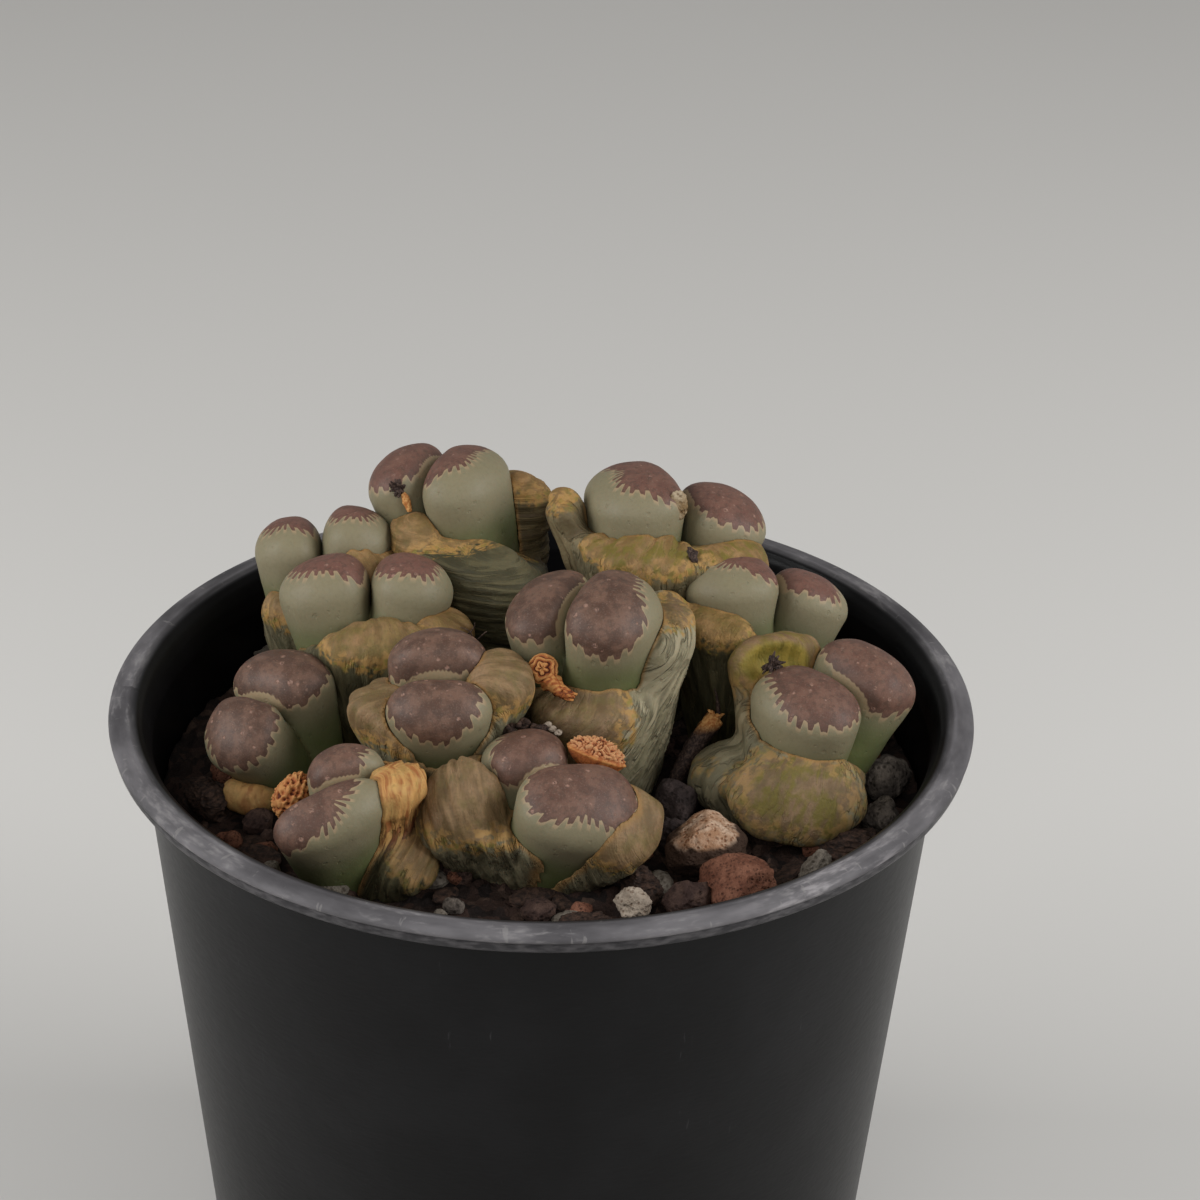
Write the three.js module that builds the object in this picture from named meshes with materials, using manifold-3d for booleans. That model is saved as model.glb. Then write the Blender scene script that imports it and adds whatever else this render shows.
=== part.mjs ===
// Potted lithops: eleven pairs of new leaves, each pushing out of its old pair, in a round nursery pot.
// Millimetres, +Z up. The origin is at the middle of the pot's underside, and the photographed side faces -Y.

import * as THREE from 'three';
import { ConvexGeometry } from 'three/addons/geometries/ConvexGeometry.js';
import { mergeVertices } from 'three/addons/utils/BufferGeometryUtils.js';
import Module from 'manifold-3d';

const wasm = await Module();
wasm.setup();

// Driving dimensions
const POT_HEIGHT = 105;
const RIM_RADIUS = 60;
const RIM_DROP = 2.7;
const WALL = 1.2;
const WALL_SLOPE = 0.097;
const BASE_RADIUS = 45.8;
const BASE_LIFT = 3;
const FOOT_WIDTH = 3;
const RIM_EDGE = 0.4;
const RIM_ROUND = 4.5;
const DRAIN_HOLES = 8;
const DRAIN_RADIUS = 4.5;
const DRAIN_CIRCLE = 33;
const SOIL_LEVEL = 91;
const SOIL_RINGS = 6;
const GRIT_HEIGHT = 1.1;
const GAP = 0.3;
const SOIL_GAP = 0.4;
const ROOT_LEVEL = 87;
const POT_SIDES = 40;
const SOIL_SIDES = 32;
const YOUNG_SIDES = 12;
const OLD_SIDES = 10;
const BULB_SIDES = 9;
const BULB_ROWS = 4;
const CUP_SIDES = 10;
const CUP_ROWS = 7;
const STALK_SIDES = 7;
const STALK_ROWS = 8;
const LEAF_ROWS = 8;

// Leaf shape: how square the dome and the edges of the fissure are, the share of the width left at the root,
// how the section grows rounder downwards, and where the two leaves of a pair grow together
const DOME_POWER = 2.2;
const CORNER_POWER = 5;
const NEW_NECK = 0.68;
const OLD_NECK = 0.66;
const ROUNDING = 0.7;
const FUSE_START = 0.12;
const FUSE_LENGTH = 0.4;
const FUSE_WIDTH = 1.1;
const NARROWEST_FISSURE = 0.6;
const FISSURE_OPENING = 0.08;
const NO_FISSURE = 100;
const BULB_FLATNESS = 0.8;
const SHEATH = 1.1;

// Small bits: how uneven stones and the rims of seed cups are, where a cup's hollow begins, how blunt a stalk is
const STONE_SMALLEST = 0.86;
const STONE_SPREAD = 0.24;
const CUP_SMALLEST = 0.9;
const CUP_SPREAD = 0.2;
const CUP_MOUTH = 0.62;
const STALK_BLUNTNESS = 2.2;
const STRAND_RADII = [0.55, 0.4];

const COLOURS = {
  pot: { color: 0x1b1b1d, roughness: 0.5 },
  soil: { color: 0x2c2119, roughness: 0.95 },
  newLeaf: { color: 0xaeb088, roughness: 0.6 },
  oldLeaf: { color: 0xb39a5e, roughness: 0.75 },
  dryPlant: { color: 0xb5652b, roughness: 0.85 },
  darkPlant: { color: 0x4a3226, roughness: 0.9 },
  paleStone: { color: 0xb7a48c, roughness: 0.9 },
  redStone: { color: 0x8a4a38, roughness: 0.9 },
  greyStone: { color: 0x77695c, roughness: 0.9 },
  bark: { color: 0x50382b, roughness: 0.9 },
};

// Each head: where its root stands, how far its fissure is turned, its two new leaves and its old ones.
// A new leaf gives the middle of its shoulder, its half-widths across and along the fissure, and its dome.
// An old leaf gives the same, across being its thickness. The sheath is the height up to which they wrap the pair.
const HEADS = {
  left: {
    root: [-32.5, 1.5], turn: 56,
    young: [[[-36, 2.2, 104.4], 5.9, 7.6, 4.8], [[-41, -7, 101.3], 5.6, 5.9, 4.1]],
    old: [[[-41.2, -10, 93.6], 2.4, 3.6, 2]],
    bulb: 5.2, sheath: 93,
  },
  front_left: {
    root: [-25.5, -22.5], turn: 112,
    young: [[[-25.5, -24, 105.8], 4.4, 5.3, 4], [[-27.2, -31, 103.6], 4.8, 8, 4.2]],
    old: [[[-18.8, -26.4, 104.6], 3.2, 5.6, 3.8], [[-17.2, -27.5, 95], 4.4, 5.2, 3]],
    bulb: 6, sheath: 96,
  },
  middle_left: {
    root: [-13.9, -5.5], turn: 93,
    young: [[[-14.1, -7.4, 113.6], 5.6, 6.9, 4.9], [[-13.7, -14.6, 110.4], 5.1, 7.2, 4.5]],
    old: [[[-21.6, -10.6, 108.4], 4.6, 5.2, 3.1], [[-5.6, -9.2, 112.6], 4.6, 5.2, 3.2]],
    bulb: 6.5, sheath: 102.5,
  },
  left_middle: {
    root: [-25, 10], turn: 3,
    young: [[[-18.8, 13.7, 114.6], 5.7, 6.5, 3.9], [[-30.6, 14.3, 113.8], 7.2, 6.6, 4.2]],
    old: [[[-24, 4.6, 109.4], 4.2, 7, 3], [[-14, 9.2, 109.6], 4.2, 5, 2.8]],
    bulb: 6.5, sheath: 101,
  },
  back_left_small: {
    root: [-32, 21.5], turn: 2,
    young: [[[-28, 25.8, 115.8], 5.8, 6, 4.2], [[-37, 25.9, 113.9], 5.3, 6.1, 4.1]],
    old: [[[-26.6, 19.8, 113.6], 3.6, 5, 2.9], [[-37.8, 19.4, 107], 2.4, 3, 2.9]],
    bulb: 5.6, sheath: 104,
  },
  back_left: {
    root: [-6.5, 28.5], turn: -20,
    young: [[[-12.4, 31.5, 121.2], 6.6, 8.5, 5.6], [[-20.4, 34.6, 120.4], 5.6, 8, 5.1]],
    old: [
      [[-10.6, 19.6, 113.2], 5.4, 11.2, 4.1],
      [[-4.4, 36, 116.6], 4.2, 5, 4.7],
      [[-19.4, 25, 116.6], 3.4, 4.4, 3],
    ],
    bulb: 8, sheath: 108,
  },
  centre: {
    root: [8, 1.5], turn: -21,
    young: [[[8.9, -1.6, 118.4], 7.4, 8.2, 5.4], [[0.6, 2.6, 116.8], 5.3, 8.5, 4.4]],
    old: [[[16.4, 1.9, 114.3], 4.2, 8.8, 3.8], [[6.8, -7.7, 108.1], 5, 7.8, 3]],
    bulb: 7.5, sheath: 102,
  },
  front: {
    root: [0, -20], turn: 108,
    young: [[[-2.1, -17.9, 104.9], 4.7, 5.8, 4.4], [[5.4, -28.4, 103.5], 6.2, 8.4, 5.1]],
    old: [[[-8.8, -27, 104.6], 6.4, 7.2, 4.2], [[10.4, -27.6, 101.9], 5.8, 6.8, 3.9]],
    bulb: 7.5, sheath: 95,
  },
  back_right: {
    root: [15, 24.5], turn: 20,
    young: [[[25.3, 27.6, 118.8], 6.1, 7.4, 4.6], [[12.4, 26.8, 121.9], 7.2, 8.8, 4.9]],
    old: [
      [[14, 17, 116.4], 4.2, 7.6, 3.6],
      [[27.6, 20.8, 115.7], 4.2, 5.9, 3.1],
      [[2.7, 24, 121.4], 3, 3.4, 2.8],
    ],
    bulb: 7.5, sheath: 116.5,
  },
  right_middle: {
    root: [27.5, 12.6], turn: 16,
    young: [[[38, 17.9, 110.9], 5.3, 6.1, 3.9], [[26.6, 16, 114], 6.9, 7, 4.5]],
    old: [[[24.2, 8.4, 111], 3.8, 6.8, 3.2], [[17.6, 10.4, 113.2], 2.6, 3, 2.9]],
    bulb: 6, sheath: 105,
  },
  right: {
    root: [35, -4.8], turn: 53,
    young: [[[45, 0.8, 107.9], 6.1, 7.5, 4.9], [[36, -7.1, 107.3], 5.8, 8, 4.9]],
    old: [
      [[35.2, -16.8, 102.7], 5.6, 9.8, 4],
      [[32, 2.2, 110.8], 3.3, 7, 3.2],
      [[24.6, -6.6, 97.4], 4.8, 5.4, 2.7],
    ],
    bulb: 7, sheath: 99,
  },
};

// Stones and bark that stand out of the grit: middle, half-sizes, turn about Z and tilt in degrees
const STONES = {
  stone_pumice: { at: [22.8, -22.4, 94.4], half: [5.8, 4.6, 3.9], turn: 15, tilt: 8, kind: 'paleStone' },
  stone_lava: { at: [27.2, -31, 94.2], half: [5.1, 3.9, 3.3], turn: -20, tilt: 6, kind: 'redStone' },
  stone_grey_round: { at: [48.6, -2, 93.6], half: [3.1, 2.9, 3], turn: 30, tilt: 0, kind: 'greyStone' },
  stone_grey_small: { at: [47.4, -11.4, 93.4], half: [2.9, 2.6, 2.3], turn: 70, tilt: 12, kind: 'greyStone' },
  stone_pointed: { at: [37.6, -27, 94.2], half: [2, 1.9, 2.9], turn: 10, tilt: 14, kind: 'paleStone' },
  stone_white: { at: [13.1, -34.2, 93.1], half: [2.2, 1.9, 1.8], turn: 0, tilt: 20, kind: 'paleStone' },
  stone_middle: { at: [19, -10.4, 93.8], half: [2.6, 3.4, 3.6], turn: 20, tilt: 18, kind: 'greyStone' },
  stone_middle_small: { at: [18.2, -17, 93], half: [2.2, 2.1, 2.4], turn: 50, tilt: 0, kind: 'greyStone' },
  stone_front_brown: { at: [20.2, -32.4, 93], half: [3, 2.4, 2.2], turn: 35, tilt: 10, kind: 'redStone' },
  stone_pale_flat: { at: [-41, 30.4, 92.2], half: [2.6, 2, 1.6], turn: 40, tilt: 15, kind: 'paleStone' },
  bark_right: { at: [43, -18.6, 93.2], half: [4.4, 3, 1.7], turn: -25, tilt: 14, kind: 'bark' },
  bark_front_right: { at: [34.6, -33.6, 92.8], half: [4.6, 2.8, 1.4], turn: -12, tilt: 10, kind: 'bark' },
  bark_middle: { at: [14.4, -29.4, 92.6], half: [2.6, 3.2, 2.2], turn: 20, tilt: 25, kind: 'bark' },
  bark_front: { at: [6.4, -38.4, 92.6], half: [3.6, 2.2, 1.5], turn: 12, tilt: 8, kind: 'bark' },
  bark_left: { at: [-46.4, -9.6, 93.2], half: [2.9, 3.6, 2.6], turn: 25, tilt: 20, kind: 'bark' },
};

// Seed cups and dried flowers: middle, half-sizes, the way their open end looks, how deep the cup is,
// and the points of a loose strand that hangs from it
const SEED_CUPS = {
  seed_cup_left: { at: [-33.3, -22.8, 101.1], half: [2.7, 2.5, 3.8], faces: [-0.5, -0.5, 0.9], depth: 0.7 },
  seed_cup_centre: { at: [0.2, -7, 112.6], half: [2.1, 2.1, 2.6], faces: [-0.3, -0.8, 0.6], depth: 0.6 },
  seed_cup_front: { at: [7.6, -19.4, 106.9], half: [4.2, 2.3, 2.4], faces: [0.2, 0.2, 0.9], depth: 0.6 },
  dried_flower_right: { at: [31.6, -2, 111.8], half: [1.9, 1.6, 1.6], faces: [0, -0.7, 0.7], depth: 0.5 },
  dried_flower_back: {
    at: [-21.4, 27.2, 123], half: [1.9, 1.5, 1.7], faces: [-0.3, -0.8, 0.6], depth: 0.5,
    strand: [[-20.9, 27.1, 122.3], [-20.3, 26.7, 121.2], [-19.9, 26.2, 119.9]],
  },
};

const DRIED_STALK = {
  points: [[18.4, -3.6, 92.6], [20.8, -2.2, 97.5], [24.2, 0.4, 101.6]],
  radii: [0.9, 1.5],
};

// A repeatable random number from 0 to 1
function seededRandom(seed) {
  let state = seed;
  return () => {
    state = (state * 1664525 + 1013904223) % 4294967296;
    return state / 4294967296;
  };
}

function smoothStep(x) {
  const t = Math.min(1, Math.max(0, x));
  return t * t * (3 - 2 * t);
}

function toSolid(geometry) {
  const bare = geometry.clone();
  bare.deleteAttribute('normal');
  bare.deleteAttribute('uv');
  const merged = mergeVertices(bare, 1e-4);
  return new wasm.Manifold(new wasm.Mesh({
    numProp: 3,
    vertProperties: new Float32Array(merged.attributes.position.array),
    triVerts: new Uint32Array(merged.index.array),
  }));
}

// The convex shape round everything in a solid that lies below a level
function hullBelow(solid, level) {
  const slab = new THREE.BoxGeometry(2 * RIM_RADIUS, 2 * RIM_RADIUS, level);
  slab.translate(0, 0, level / 2);
  const below = solid.intersect(toSolid(slab)).getMesh().vertProperties;
  const points = [];
  for (let i = 0; i < below.length; i += 3) {
    points.push(new THREE.Vector3(below[i], below[i + 1], below[i + 2]));
  }
  return toSolid(new ConvexGeometry(points));
}

// The largest body of a solid, so that a loose scrap left by a cut is dropped
function largestBody(solid) {
  return solid.decompose().reduce((best, body) => (body.volume() > best.volume() ? body : best));
}

function toMesh(name, solid, kind) {
  const data = largestBody(solid).getMesh();
  const geometry = new THREE.BufferGeometry();
  geometry.setAttribute('position', new THREE.BufferAttribute(new Float32Array(data.vertProperties), 3));
  geometry.setIndex(new THREE.BufferAttribute(new Uint32Array(data.triVerts), 1));
  geometry.computeVertexNormals();
  const mesh = new THREE.Mesh(geometry, new THREE.MeshStandardMaterial({ ...COLOURS[kind], metalness: 0 }));
  mesh.name = name;
  return mesh;
}

// Moves every vertex of a unit sphere standing along Z: the shape takes a direction and gives the new point
function shapedSphere(sides, rows, shape) {
  const geometry = new THREE.SphereGeometry(1, sides, rows);
  geometry.rotateX(Math.PI / 2);
  const position = geometry.attributes.position;
  const direction = new THREE.Vector3();
  for (let i = 0; i < position.count; i += 1) {
    direction.fromBufferAttribute(position, i);
    const point = shape(direction);
    position.setXYZ(i, point.x, point.y, point.z);
  }
  return geometry;
}

// A leaf stands on its axis from the root to its shoulder, and a dome closes it above the shoulder.
// Its section is an ellipse, flattened where it meets the fissure, and it narrows towards the root.
function leafSolid({ root, shoulder, side, across, along, dome, fissure, neck, grow, sides }) {
  const axis = shoulder.clone().sub(root).normalize();
  const a = side.clone().addScaledVector(axis, -side.dot(axis)).normalize();
  const b = new THREE.Vector3().crossVectors(axis, a);
  const geometry = shapedSphere(sides, LEAF_ROWS, (n) => {
    const t = Math.atan2(n.y, n.x);
    const polar = Math.acos(Math.min(1, Math.max(-1, n.z)));
    const down = Math.max(0, polar / (Math.PI / 2) - 1);
    const up = Math.max(0, n.z);
    const scale = 1 - (1 - neck) * down;
    const halfA = (across + (along - across) * ROUNDING * down) * scale;
    const halfB = along * scale;
    const fused = across * FUSE_WIDTH * smoothStep((down - FUSE_START) / FUSE_LENGTH);
    const wall = fissure * (1 - down) + fused;
    const ellipse = 1 / Math.hypot(Math.cos(t) / halfA, Math.sin(t) / halfB);
    const plane = Math.cos(t) < -0.001 ? wall / -Math.cos(t) : Infinity;
    const rounded = (ellipse ** -CORNER_POWER + plane ** -CORNER_POWER) ** (-1 / CORNER_POWER);
    const closing = up > 0 ? Math.max(0, 1 - up ** DOME_POWER) ** (1 / DOME_POWER) : 1;
    const radius = (rounded + grow) * (down > 0.999 ? 0 : closing);
    return shoulder.clone()
      .addScaledVector(axis, up * (dome + grow) - down * shoulder.distanceTo(root))
      .addScaledVector(a, radius * Math.cos(t))
      .addScaledVector(b, radius * Math.sin(t));
  });
  return toSolid(geometry);
}

function rootPoint(head, lift = 0) {
  return new THREE.Vector3(head.root[0], head.root[1], ROOT_LEVEL + lift);
}

// The new pair: two leaves from one root, pressed together along the fissure
function youngPair(head, grow = 0) {
  const shoulders = head.young.map(([place]) => new THREE.Vector3(...place));
  const turn = THREE.MathUtils.degToRad(head.turn);
  const leaves = head.young.map(([, across, along, dome], i) => {
    const side = new THREE.Vector3(Math.cos(turn), Math.sin(turn), 0).multiplyScalar(i === 0 ? 1 : -1);
    const apart = shoulders[i].clone().sub(shoulders[1 - i]).dot(side) / 2;
    const fissure = Math.max(apart, NARROWEST_FISSURE) - FISSURE_OPENING;
    return leafSolid({
      root: rootPoint(head, 1),
      shoulder: shoulders[i],
      side,
      across,
      along,
      dome,
      fissure,
      neck: NEW_NECK,
      grow,
      sides: YOUNG_SIDES,
    });
  });
  return leaves[0].add(leaves[1]);
}

// The old pair round it, still without the hollow for the new pair: the leaves rise out of one sheath,
// which starts at a bulb in the soil and wraps the new pair up to its own level
function oldPair(head, grow = 0) {
  const root = rootPoint(head, -1);
  const bulb = shapedSphere(BULB_SIDES, BULB_ROWS, (n) => n.clone()
    .multiply(new THREE.Vector3(head.bulb + grow, head.bulb + grow, head.bulb * BULB_FLATNESS + grow))
    .add(root));
  const leaves = head.old.reduce((body, [place, across, along, dome]) => {
    const shoulder = new THREE.Vector3(...place);
    const side = shoulder.clone().sub(root).setZ(0).normalize();
    return body.add(leafSolid({
      root,
      shoulder,
      side,
      across,
      along,
      dome,
      fissure: NO_FISSURE,
      neck: OLD_NECK,
      grow,
      sides: OLD_SIDES,
    }));
  }, toSolid(bulb));
  return leaves.add(hullBelow(leaves.add(youngPair(head, SHEATH + grow)), head.sheath + grow));
}

// A rounded stone or a flat piece of bark: an icosahedron with uneven corners
function stoneSolid(stone, seed, grow = 0) {
  const geometry = new THREE.IcosahedronGeometry(1, 1);
  geometry.deleteAttribute('normal');
  geometry.deleteAttribute('uv');
  const merged = mergeVertices(geometry, 1e-4);
  const random = seededRandom(seed);
  const position = merged.attributes.position;
  for (let i = 0; i < position.count; i += 1) {
    const swell = STONE_SMALLEST + STONE_SPREAD * random();
    position.setXYZ(
      i,
      position.getX(i) * (stone.half[0] * swell + grow),
      position.getY(i) * (stone.half[1] * swell + grow),
      position.getZ(i) * (stone.half[2] * swell + grow),
    );
  }
  merged.rotateX(THREE.MathUtils.degToRad(stone.tilt));
  merged.rotateZ(THREE.MathUtils.degToRad(stone.turn));
  merged.translate(...stone.at);
  return toSolid(merged);
}

// A seed cup: a rounded body with a crumpled hollow pushed into its open end
function seedCupSolid(cup, seed, grow = 0) {
  const facing = new THREE.Vector3(...cup.faces).normalize();
  const turned = new THREE.Quaternion().setFromUnitVectors(new THREE.Vector3(0, 0, 1), facing);
  const random = seededRandom(seed);
  const lobes = Array.from({ length: CUP_SIDES }, () => CUP_SMALLEST + CUP_SPREAD * random());
  const geometry = shapedSphere(CUP_SIDES, CUP_ROWS, (n) => {
    const t = (Math.atan2(n.y, n.x) / (2 * Math.PI) + 1) % 1;
    const ragged = lobes[Math.round(t * CUP_SIDES) % CUP_SIDES];
    const inward = grow > 0 ? 0 : cup.depth * smoothStep((n.z - CUP_MOUTH) / (1 - CUP_MOUTH));
    return new THREE.Vector3(
      n.x * (cup.half[0] * ragged + grow),
      n.y * (cup.half[1] * ragged + grow),
      (n.z - inward) * (cup.half[2] + grow),
    ).applyQuaternion(turned).add(new THREE.Vector3(...cup.at));
  });
  const body = toSolid(geometry);
  return cup.strand ? body.add(stalkSolid(cup.strand, STRAND_RADII, grow)) : body;
}

// A tube of uneven thickness along a curve through the given points, closed by round ends
function stalkSolid(points, radii, grow = 0) {
  const curve = new THREE.CatmullRomCurve3(points.map((p) => new THREE.Vector3(...p)));
  const geometry = shapedSphere(STALK_SIDES, STALK_ROWS, (n) => {
    const along = 0.5 - Math.asin(Math.min(1, Math.max(-1, n.z))) / Math.PI;
    const centre = curve.getPoint(along);
    const axis = curve.getTangent(along);
    const a = new THREE.Vector3(0, 1, 0).addScaledVector(axis, -axis.y).normalize();
    const b = new THREE.Vector3().crossVectors(axis, a);
    const width = radii[0] + (radii[1] - radii[0]) * along + grow;
    const round = Math.min(1, STALK_BLUNTNESS * Math.hypot(n.x, n.y));
    const t = Math.atan2(n.y, n.x);
    return centre
      .addScaledVector(a, -width * round * Math.sin(t))
      .addScaledVector(b, -width * round * Math.cos(t));
  });
  return toSolid(geometry);
}

function latheSolid(profile, sides) {
  const geometry = new THREE.LatheGeometry(profile.map(([r, z]) => new THREE.Vector2(r, z)), sides);
  geometry.rotateX(Math.PI / 2);
  return toSolid(geometry);
}

function innerRadius(z) {
  return BASE_RADIUS + WALL_SLOPE * z - WALL;
}

// A thin wall, a flat rim flange with a rounded top, and a raised base with drain holes inside a foot ring
function potSolid() {
  const underRim = POT_HEIGHT - RIM_DROP;
  const outer = BASE_RADIUS + WALL_SLOPE * underRim;
  const baseTop = BASE_LIFT + WALL;
  const profile = [
    [0, BASE_LIFT],
    [BASE_RADIUS - FOOT_WIDTH, BASE_LIFT],
    [BASE_RADIUS - FOOT_WIDTH, 0],
    [BASE_RADIUS, 0],
    [outer, underRim - RIM_EDGE / 2],
    [RIM_RADIUS - RIM_EDGE, underRim],
    [RIM_RADIUS, underRim + RIM_EDGE],
    [RIM_RADIUS, POT_HEIGHT - 2 * RIM_EDGE],
    [RIM_RADIUS - RIM_EDGE, POT_HEIGHT - RIM_EDGE],
    [RIM_RADIUS - 0.4 * RIM_ROUND, POT_HEIGHT],
    [RIM_RADIUS - 0.8 * RIM_ROUND, POT_HEIGHT - RIM_EDGE / 4],
    [RIM_RADIUS - RIM_ROUND, POT_HEIGHT - 2 * RIM_EDGE],
    [innerRadius(underRim), underRim],
    [innerRadius(baseTop), baseTop],
    [0, baseTop],
  ];
  let pot = latheSolid(profile, POT_SIDES);
  for (let i = 0; i < DRAIN_HOLES; i += 1) {
    const angle = (i + 0.5) * 2 * Math.PI / DRAIN_HOLES;
    const drill = new THREE.CylinderGeometry(DRAIN_RADIUS, DRAIN_RADIUS, 3 * WALL, 12);
    drill.rotateX(Math.PI / 2);
    drill.translate(DRAIN_CIRCLE * Math.cos(angle), DRAIN_CIRCLE * Math.sin(angle), BASE_LIFT + WALL / 2);
    pot = pot.subtract(toSolid(drill));
  }
  return pot;
}

// The potting mix fills the pot up to a rough, gritty top
function soilSolid() {
  const bottom = BASE_LIFT + WALL + GAP;
  const edge = innerRadius(SOIL_LEVEL) - SOIL_GAP;
  const profile = [[0, bottom], [innerRadius(bottom) - SOIL_GAP, bottom]];
  for (let ring = SOIL_RINGS; ring >= 0; ring -= 1) {
    profile.push([edge * ring / SOIL_RINGS, SOIL_LEVEL]);
  }
  const geometry = new THREE.LatheGeometry(profile.map(([r, z]) => new THREE.Vector2(r, z)), SOIL_SIDES);
  geometry.rotateX(Math.PI / 2);
  geometry.deleteAttribute('normal');
  geometry.deleteAttribute('uv');
  const merged = mergeVertices(geometry, 1e-3);
  const position = merged.attributes.position;
  const random = seededRandom(11);
  for (let i = 0; i < position.count; i += 1) {
    const lump = (random() - 0.45) * 2 * GRIT_HEIGHT;
    const top = position.getZ(i) > SOIL_LEVEL - 0.01;
    const inside = Math.hypot(position.getX(i), position.getY(i)) < edge - GAP;
    if (top && inside) {
      position.setZ(i, SOIL_LEVEL + lump);
    }
  }
  return toSolid(merged);
}

// Pieces that stand in front of or press on others, in the order in which they keep their own shape
const pieces = [];
function addPiece(name, kind, buried, solid, grown) {
  pieces.push({ name, kind, buried, solid, grown });
}

for (const [name, head] of Object.entries(HEADS)) {
  addPiece(`new_leaves_${name}`, 'newLeaf', false, youngPair(head), youngPair(head, GAP));
}
let seed = 20;
for (const [name, cup] of Object.entries(SEED_CUPS)) {
  seed += 1;
  addPiece(name, 'dryPlant', false, seedCupSolid(cup, seed), seedCupSolid(cup, seed, GAP));
}
addPiece(
  'dried_stalk',
  'darkPlant',
  true,
  stalkSolid(DRIED_STALK.points, DRIED_STALK.radii),
  stalkSolid(DRIED_STALK.points, DRIED_STALK.radii, GAP),
);
for (const [name, head] of Object.entries(HEADS)) {
  addPiece(`old_leaves_${name}`, 'oldLeaf', true, oldPair(head), oldPair(head, GAP));
}
for (const [name, stone] of Object.entries(STONES)) {
  seed += 1;
  addPiece(name, stone.kind, true, stoneSolid(stone, seed), stoneSolid(stone, seed, GAP));
}

const lithops = new THREE.Group();
let soil = soilSolid();
pieces.forEach((piece, i) => {
  const shaped = pieces.slice(0, i).reduce((solid, earlier) => solid.subtract(earlier.grown), piece.solid);
  lithops.add(toMesh(piece.name, shaped, piece.kind));
  if (piece.buried) {
    soil = soil.subtract(hullBelow(piece.grown, SOIL_LEVEL + 1.5 * GRIT_HEIGHT));
  }
});
lithops.add(toMesh('soil', soil, 'soil'));
lithops.add(toMesh('pot', potSolid(), 'pot'));

export default lithops;
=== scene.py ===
"""A pot of stone plants: eleven heads of two smooth leaves each, pushing out of their shrivelling old
leaves, in a gritty mix of lava, pumice and bark. Sizes are millimetres, turned into metres where a mesh is
made."""

import math

import bpy
import numpy as np
from mathutils import Matrix, Vector


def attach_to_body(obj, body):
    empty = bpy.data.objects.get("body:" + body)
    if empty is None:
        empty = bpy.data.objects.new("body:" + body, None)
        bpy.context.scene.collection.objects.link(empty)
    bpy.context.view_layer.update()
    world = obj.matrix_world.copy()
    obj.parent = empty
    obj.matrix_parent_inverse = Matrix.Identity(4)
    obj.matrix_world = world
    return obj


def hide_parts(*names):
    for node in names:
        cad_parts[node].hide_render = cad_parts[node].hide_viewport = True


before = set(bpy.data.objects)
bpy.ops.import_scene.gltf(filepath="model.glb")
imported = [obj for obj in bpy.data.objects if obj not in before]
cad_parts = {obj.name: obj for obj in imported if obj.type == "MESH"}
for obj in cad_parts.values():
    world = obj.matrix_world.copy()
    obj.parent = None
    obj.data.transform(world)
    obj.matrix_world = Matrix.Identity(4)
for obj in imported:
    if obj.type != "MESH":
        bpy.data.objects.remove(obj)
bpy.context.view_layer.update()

MM = 0.001
TURN = 2 * math.pi

# The camera: where it looks, from how far and how high, and its slight roll
CAMERA_TARGET = (7.75, 0, 120.2)
CAMERA_DISTANCE = 480
CAMERA_ELEVATION = math.radians(28.3)
CAMERA_ROLL = math.radians(1.22)
CAMERA_LENS = 104.94
SENSOR_WIDTH = 36

# The pot, as in the solid model, and the angle on its rim where lime has dried
RIM_RADIUS = 60
POT_HEIGHT = 105
BASE_RADIUS = 45.8
WALL_SLOPE = 0.097
WALL = 1.2
BASE_LIFT = 3
FLOOR = 4.2
FOOT_WIDTH = 3
DRAIN_RADIUS = 4.5
DRAIN_CIRCLE = 33
DRAIN_HOLES = 8
POT_SIDES = 240
LIME_PLACE = -0.86

# The mix in the pot
SOIL_LEVEL = 91
SOIL_BOTTOM = 5
SOIL_GAP = 0.4

# Where the leaves start, and how narrow they are there, where 1 is as wide as at the shoulder
NEW_ROOT = 88
OLD_ROOT = 86
NEW_NECK = 0.68
OLD_NECK = 0.66

# A leaf's form: how much rounder its section gets towards the root, and the powers that round its corners at
# the fissure and its dome. A leaf on its own has a fissure too far off to count
ROUNDING = 0.7
CORNER_POWER = 5
DOME_POWER = 2.2
NO_FISSURE = 100

# Two new leaves: the least distance from the fissure to their axes, the slit between them, where the
# flattened side lies and how wide the section is there, in such distances, how far the tops lean over it,
# and how far the leaves run into each other further down, in half-widths
LEAST_FISSURE = 0.6
SLIT = 0.08
FISSURE_PRESS = 1.1
FISSURE_FILL = 1.35
TOP_LEAN = 0.12
FUSE_WIDTH = 1.1

# The collar round the new leaves: its thickness, foot and lip, and the play of the new leaves in it
COLLAR_THICKNESS = 1.3
COLLAR_FOOT = 84.5
LIP = 1.3
HOLLOW_GAP = 0.12

# How far apart the teeth of a new leaf's face are, and how wide the pale band along the fissure is on the
# leaf that stands further from the camera and on the nearer one
TOOTH = 1.9
FISSURE_BANDS = (1.4, 0.95)

# Old leaves: the size of the squares that they are fused into, how many rounds soften them then, and where
# the face of the pad ends, as a share of the pad
VOXEL = 0.4
SOFTENING = 26
PAD_FACE = 0.84

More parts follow.
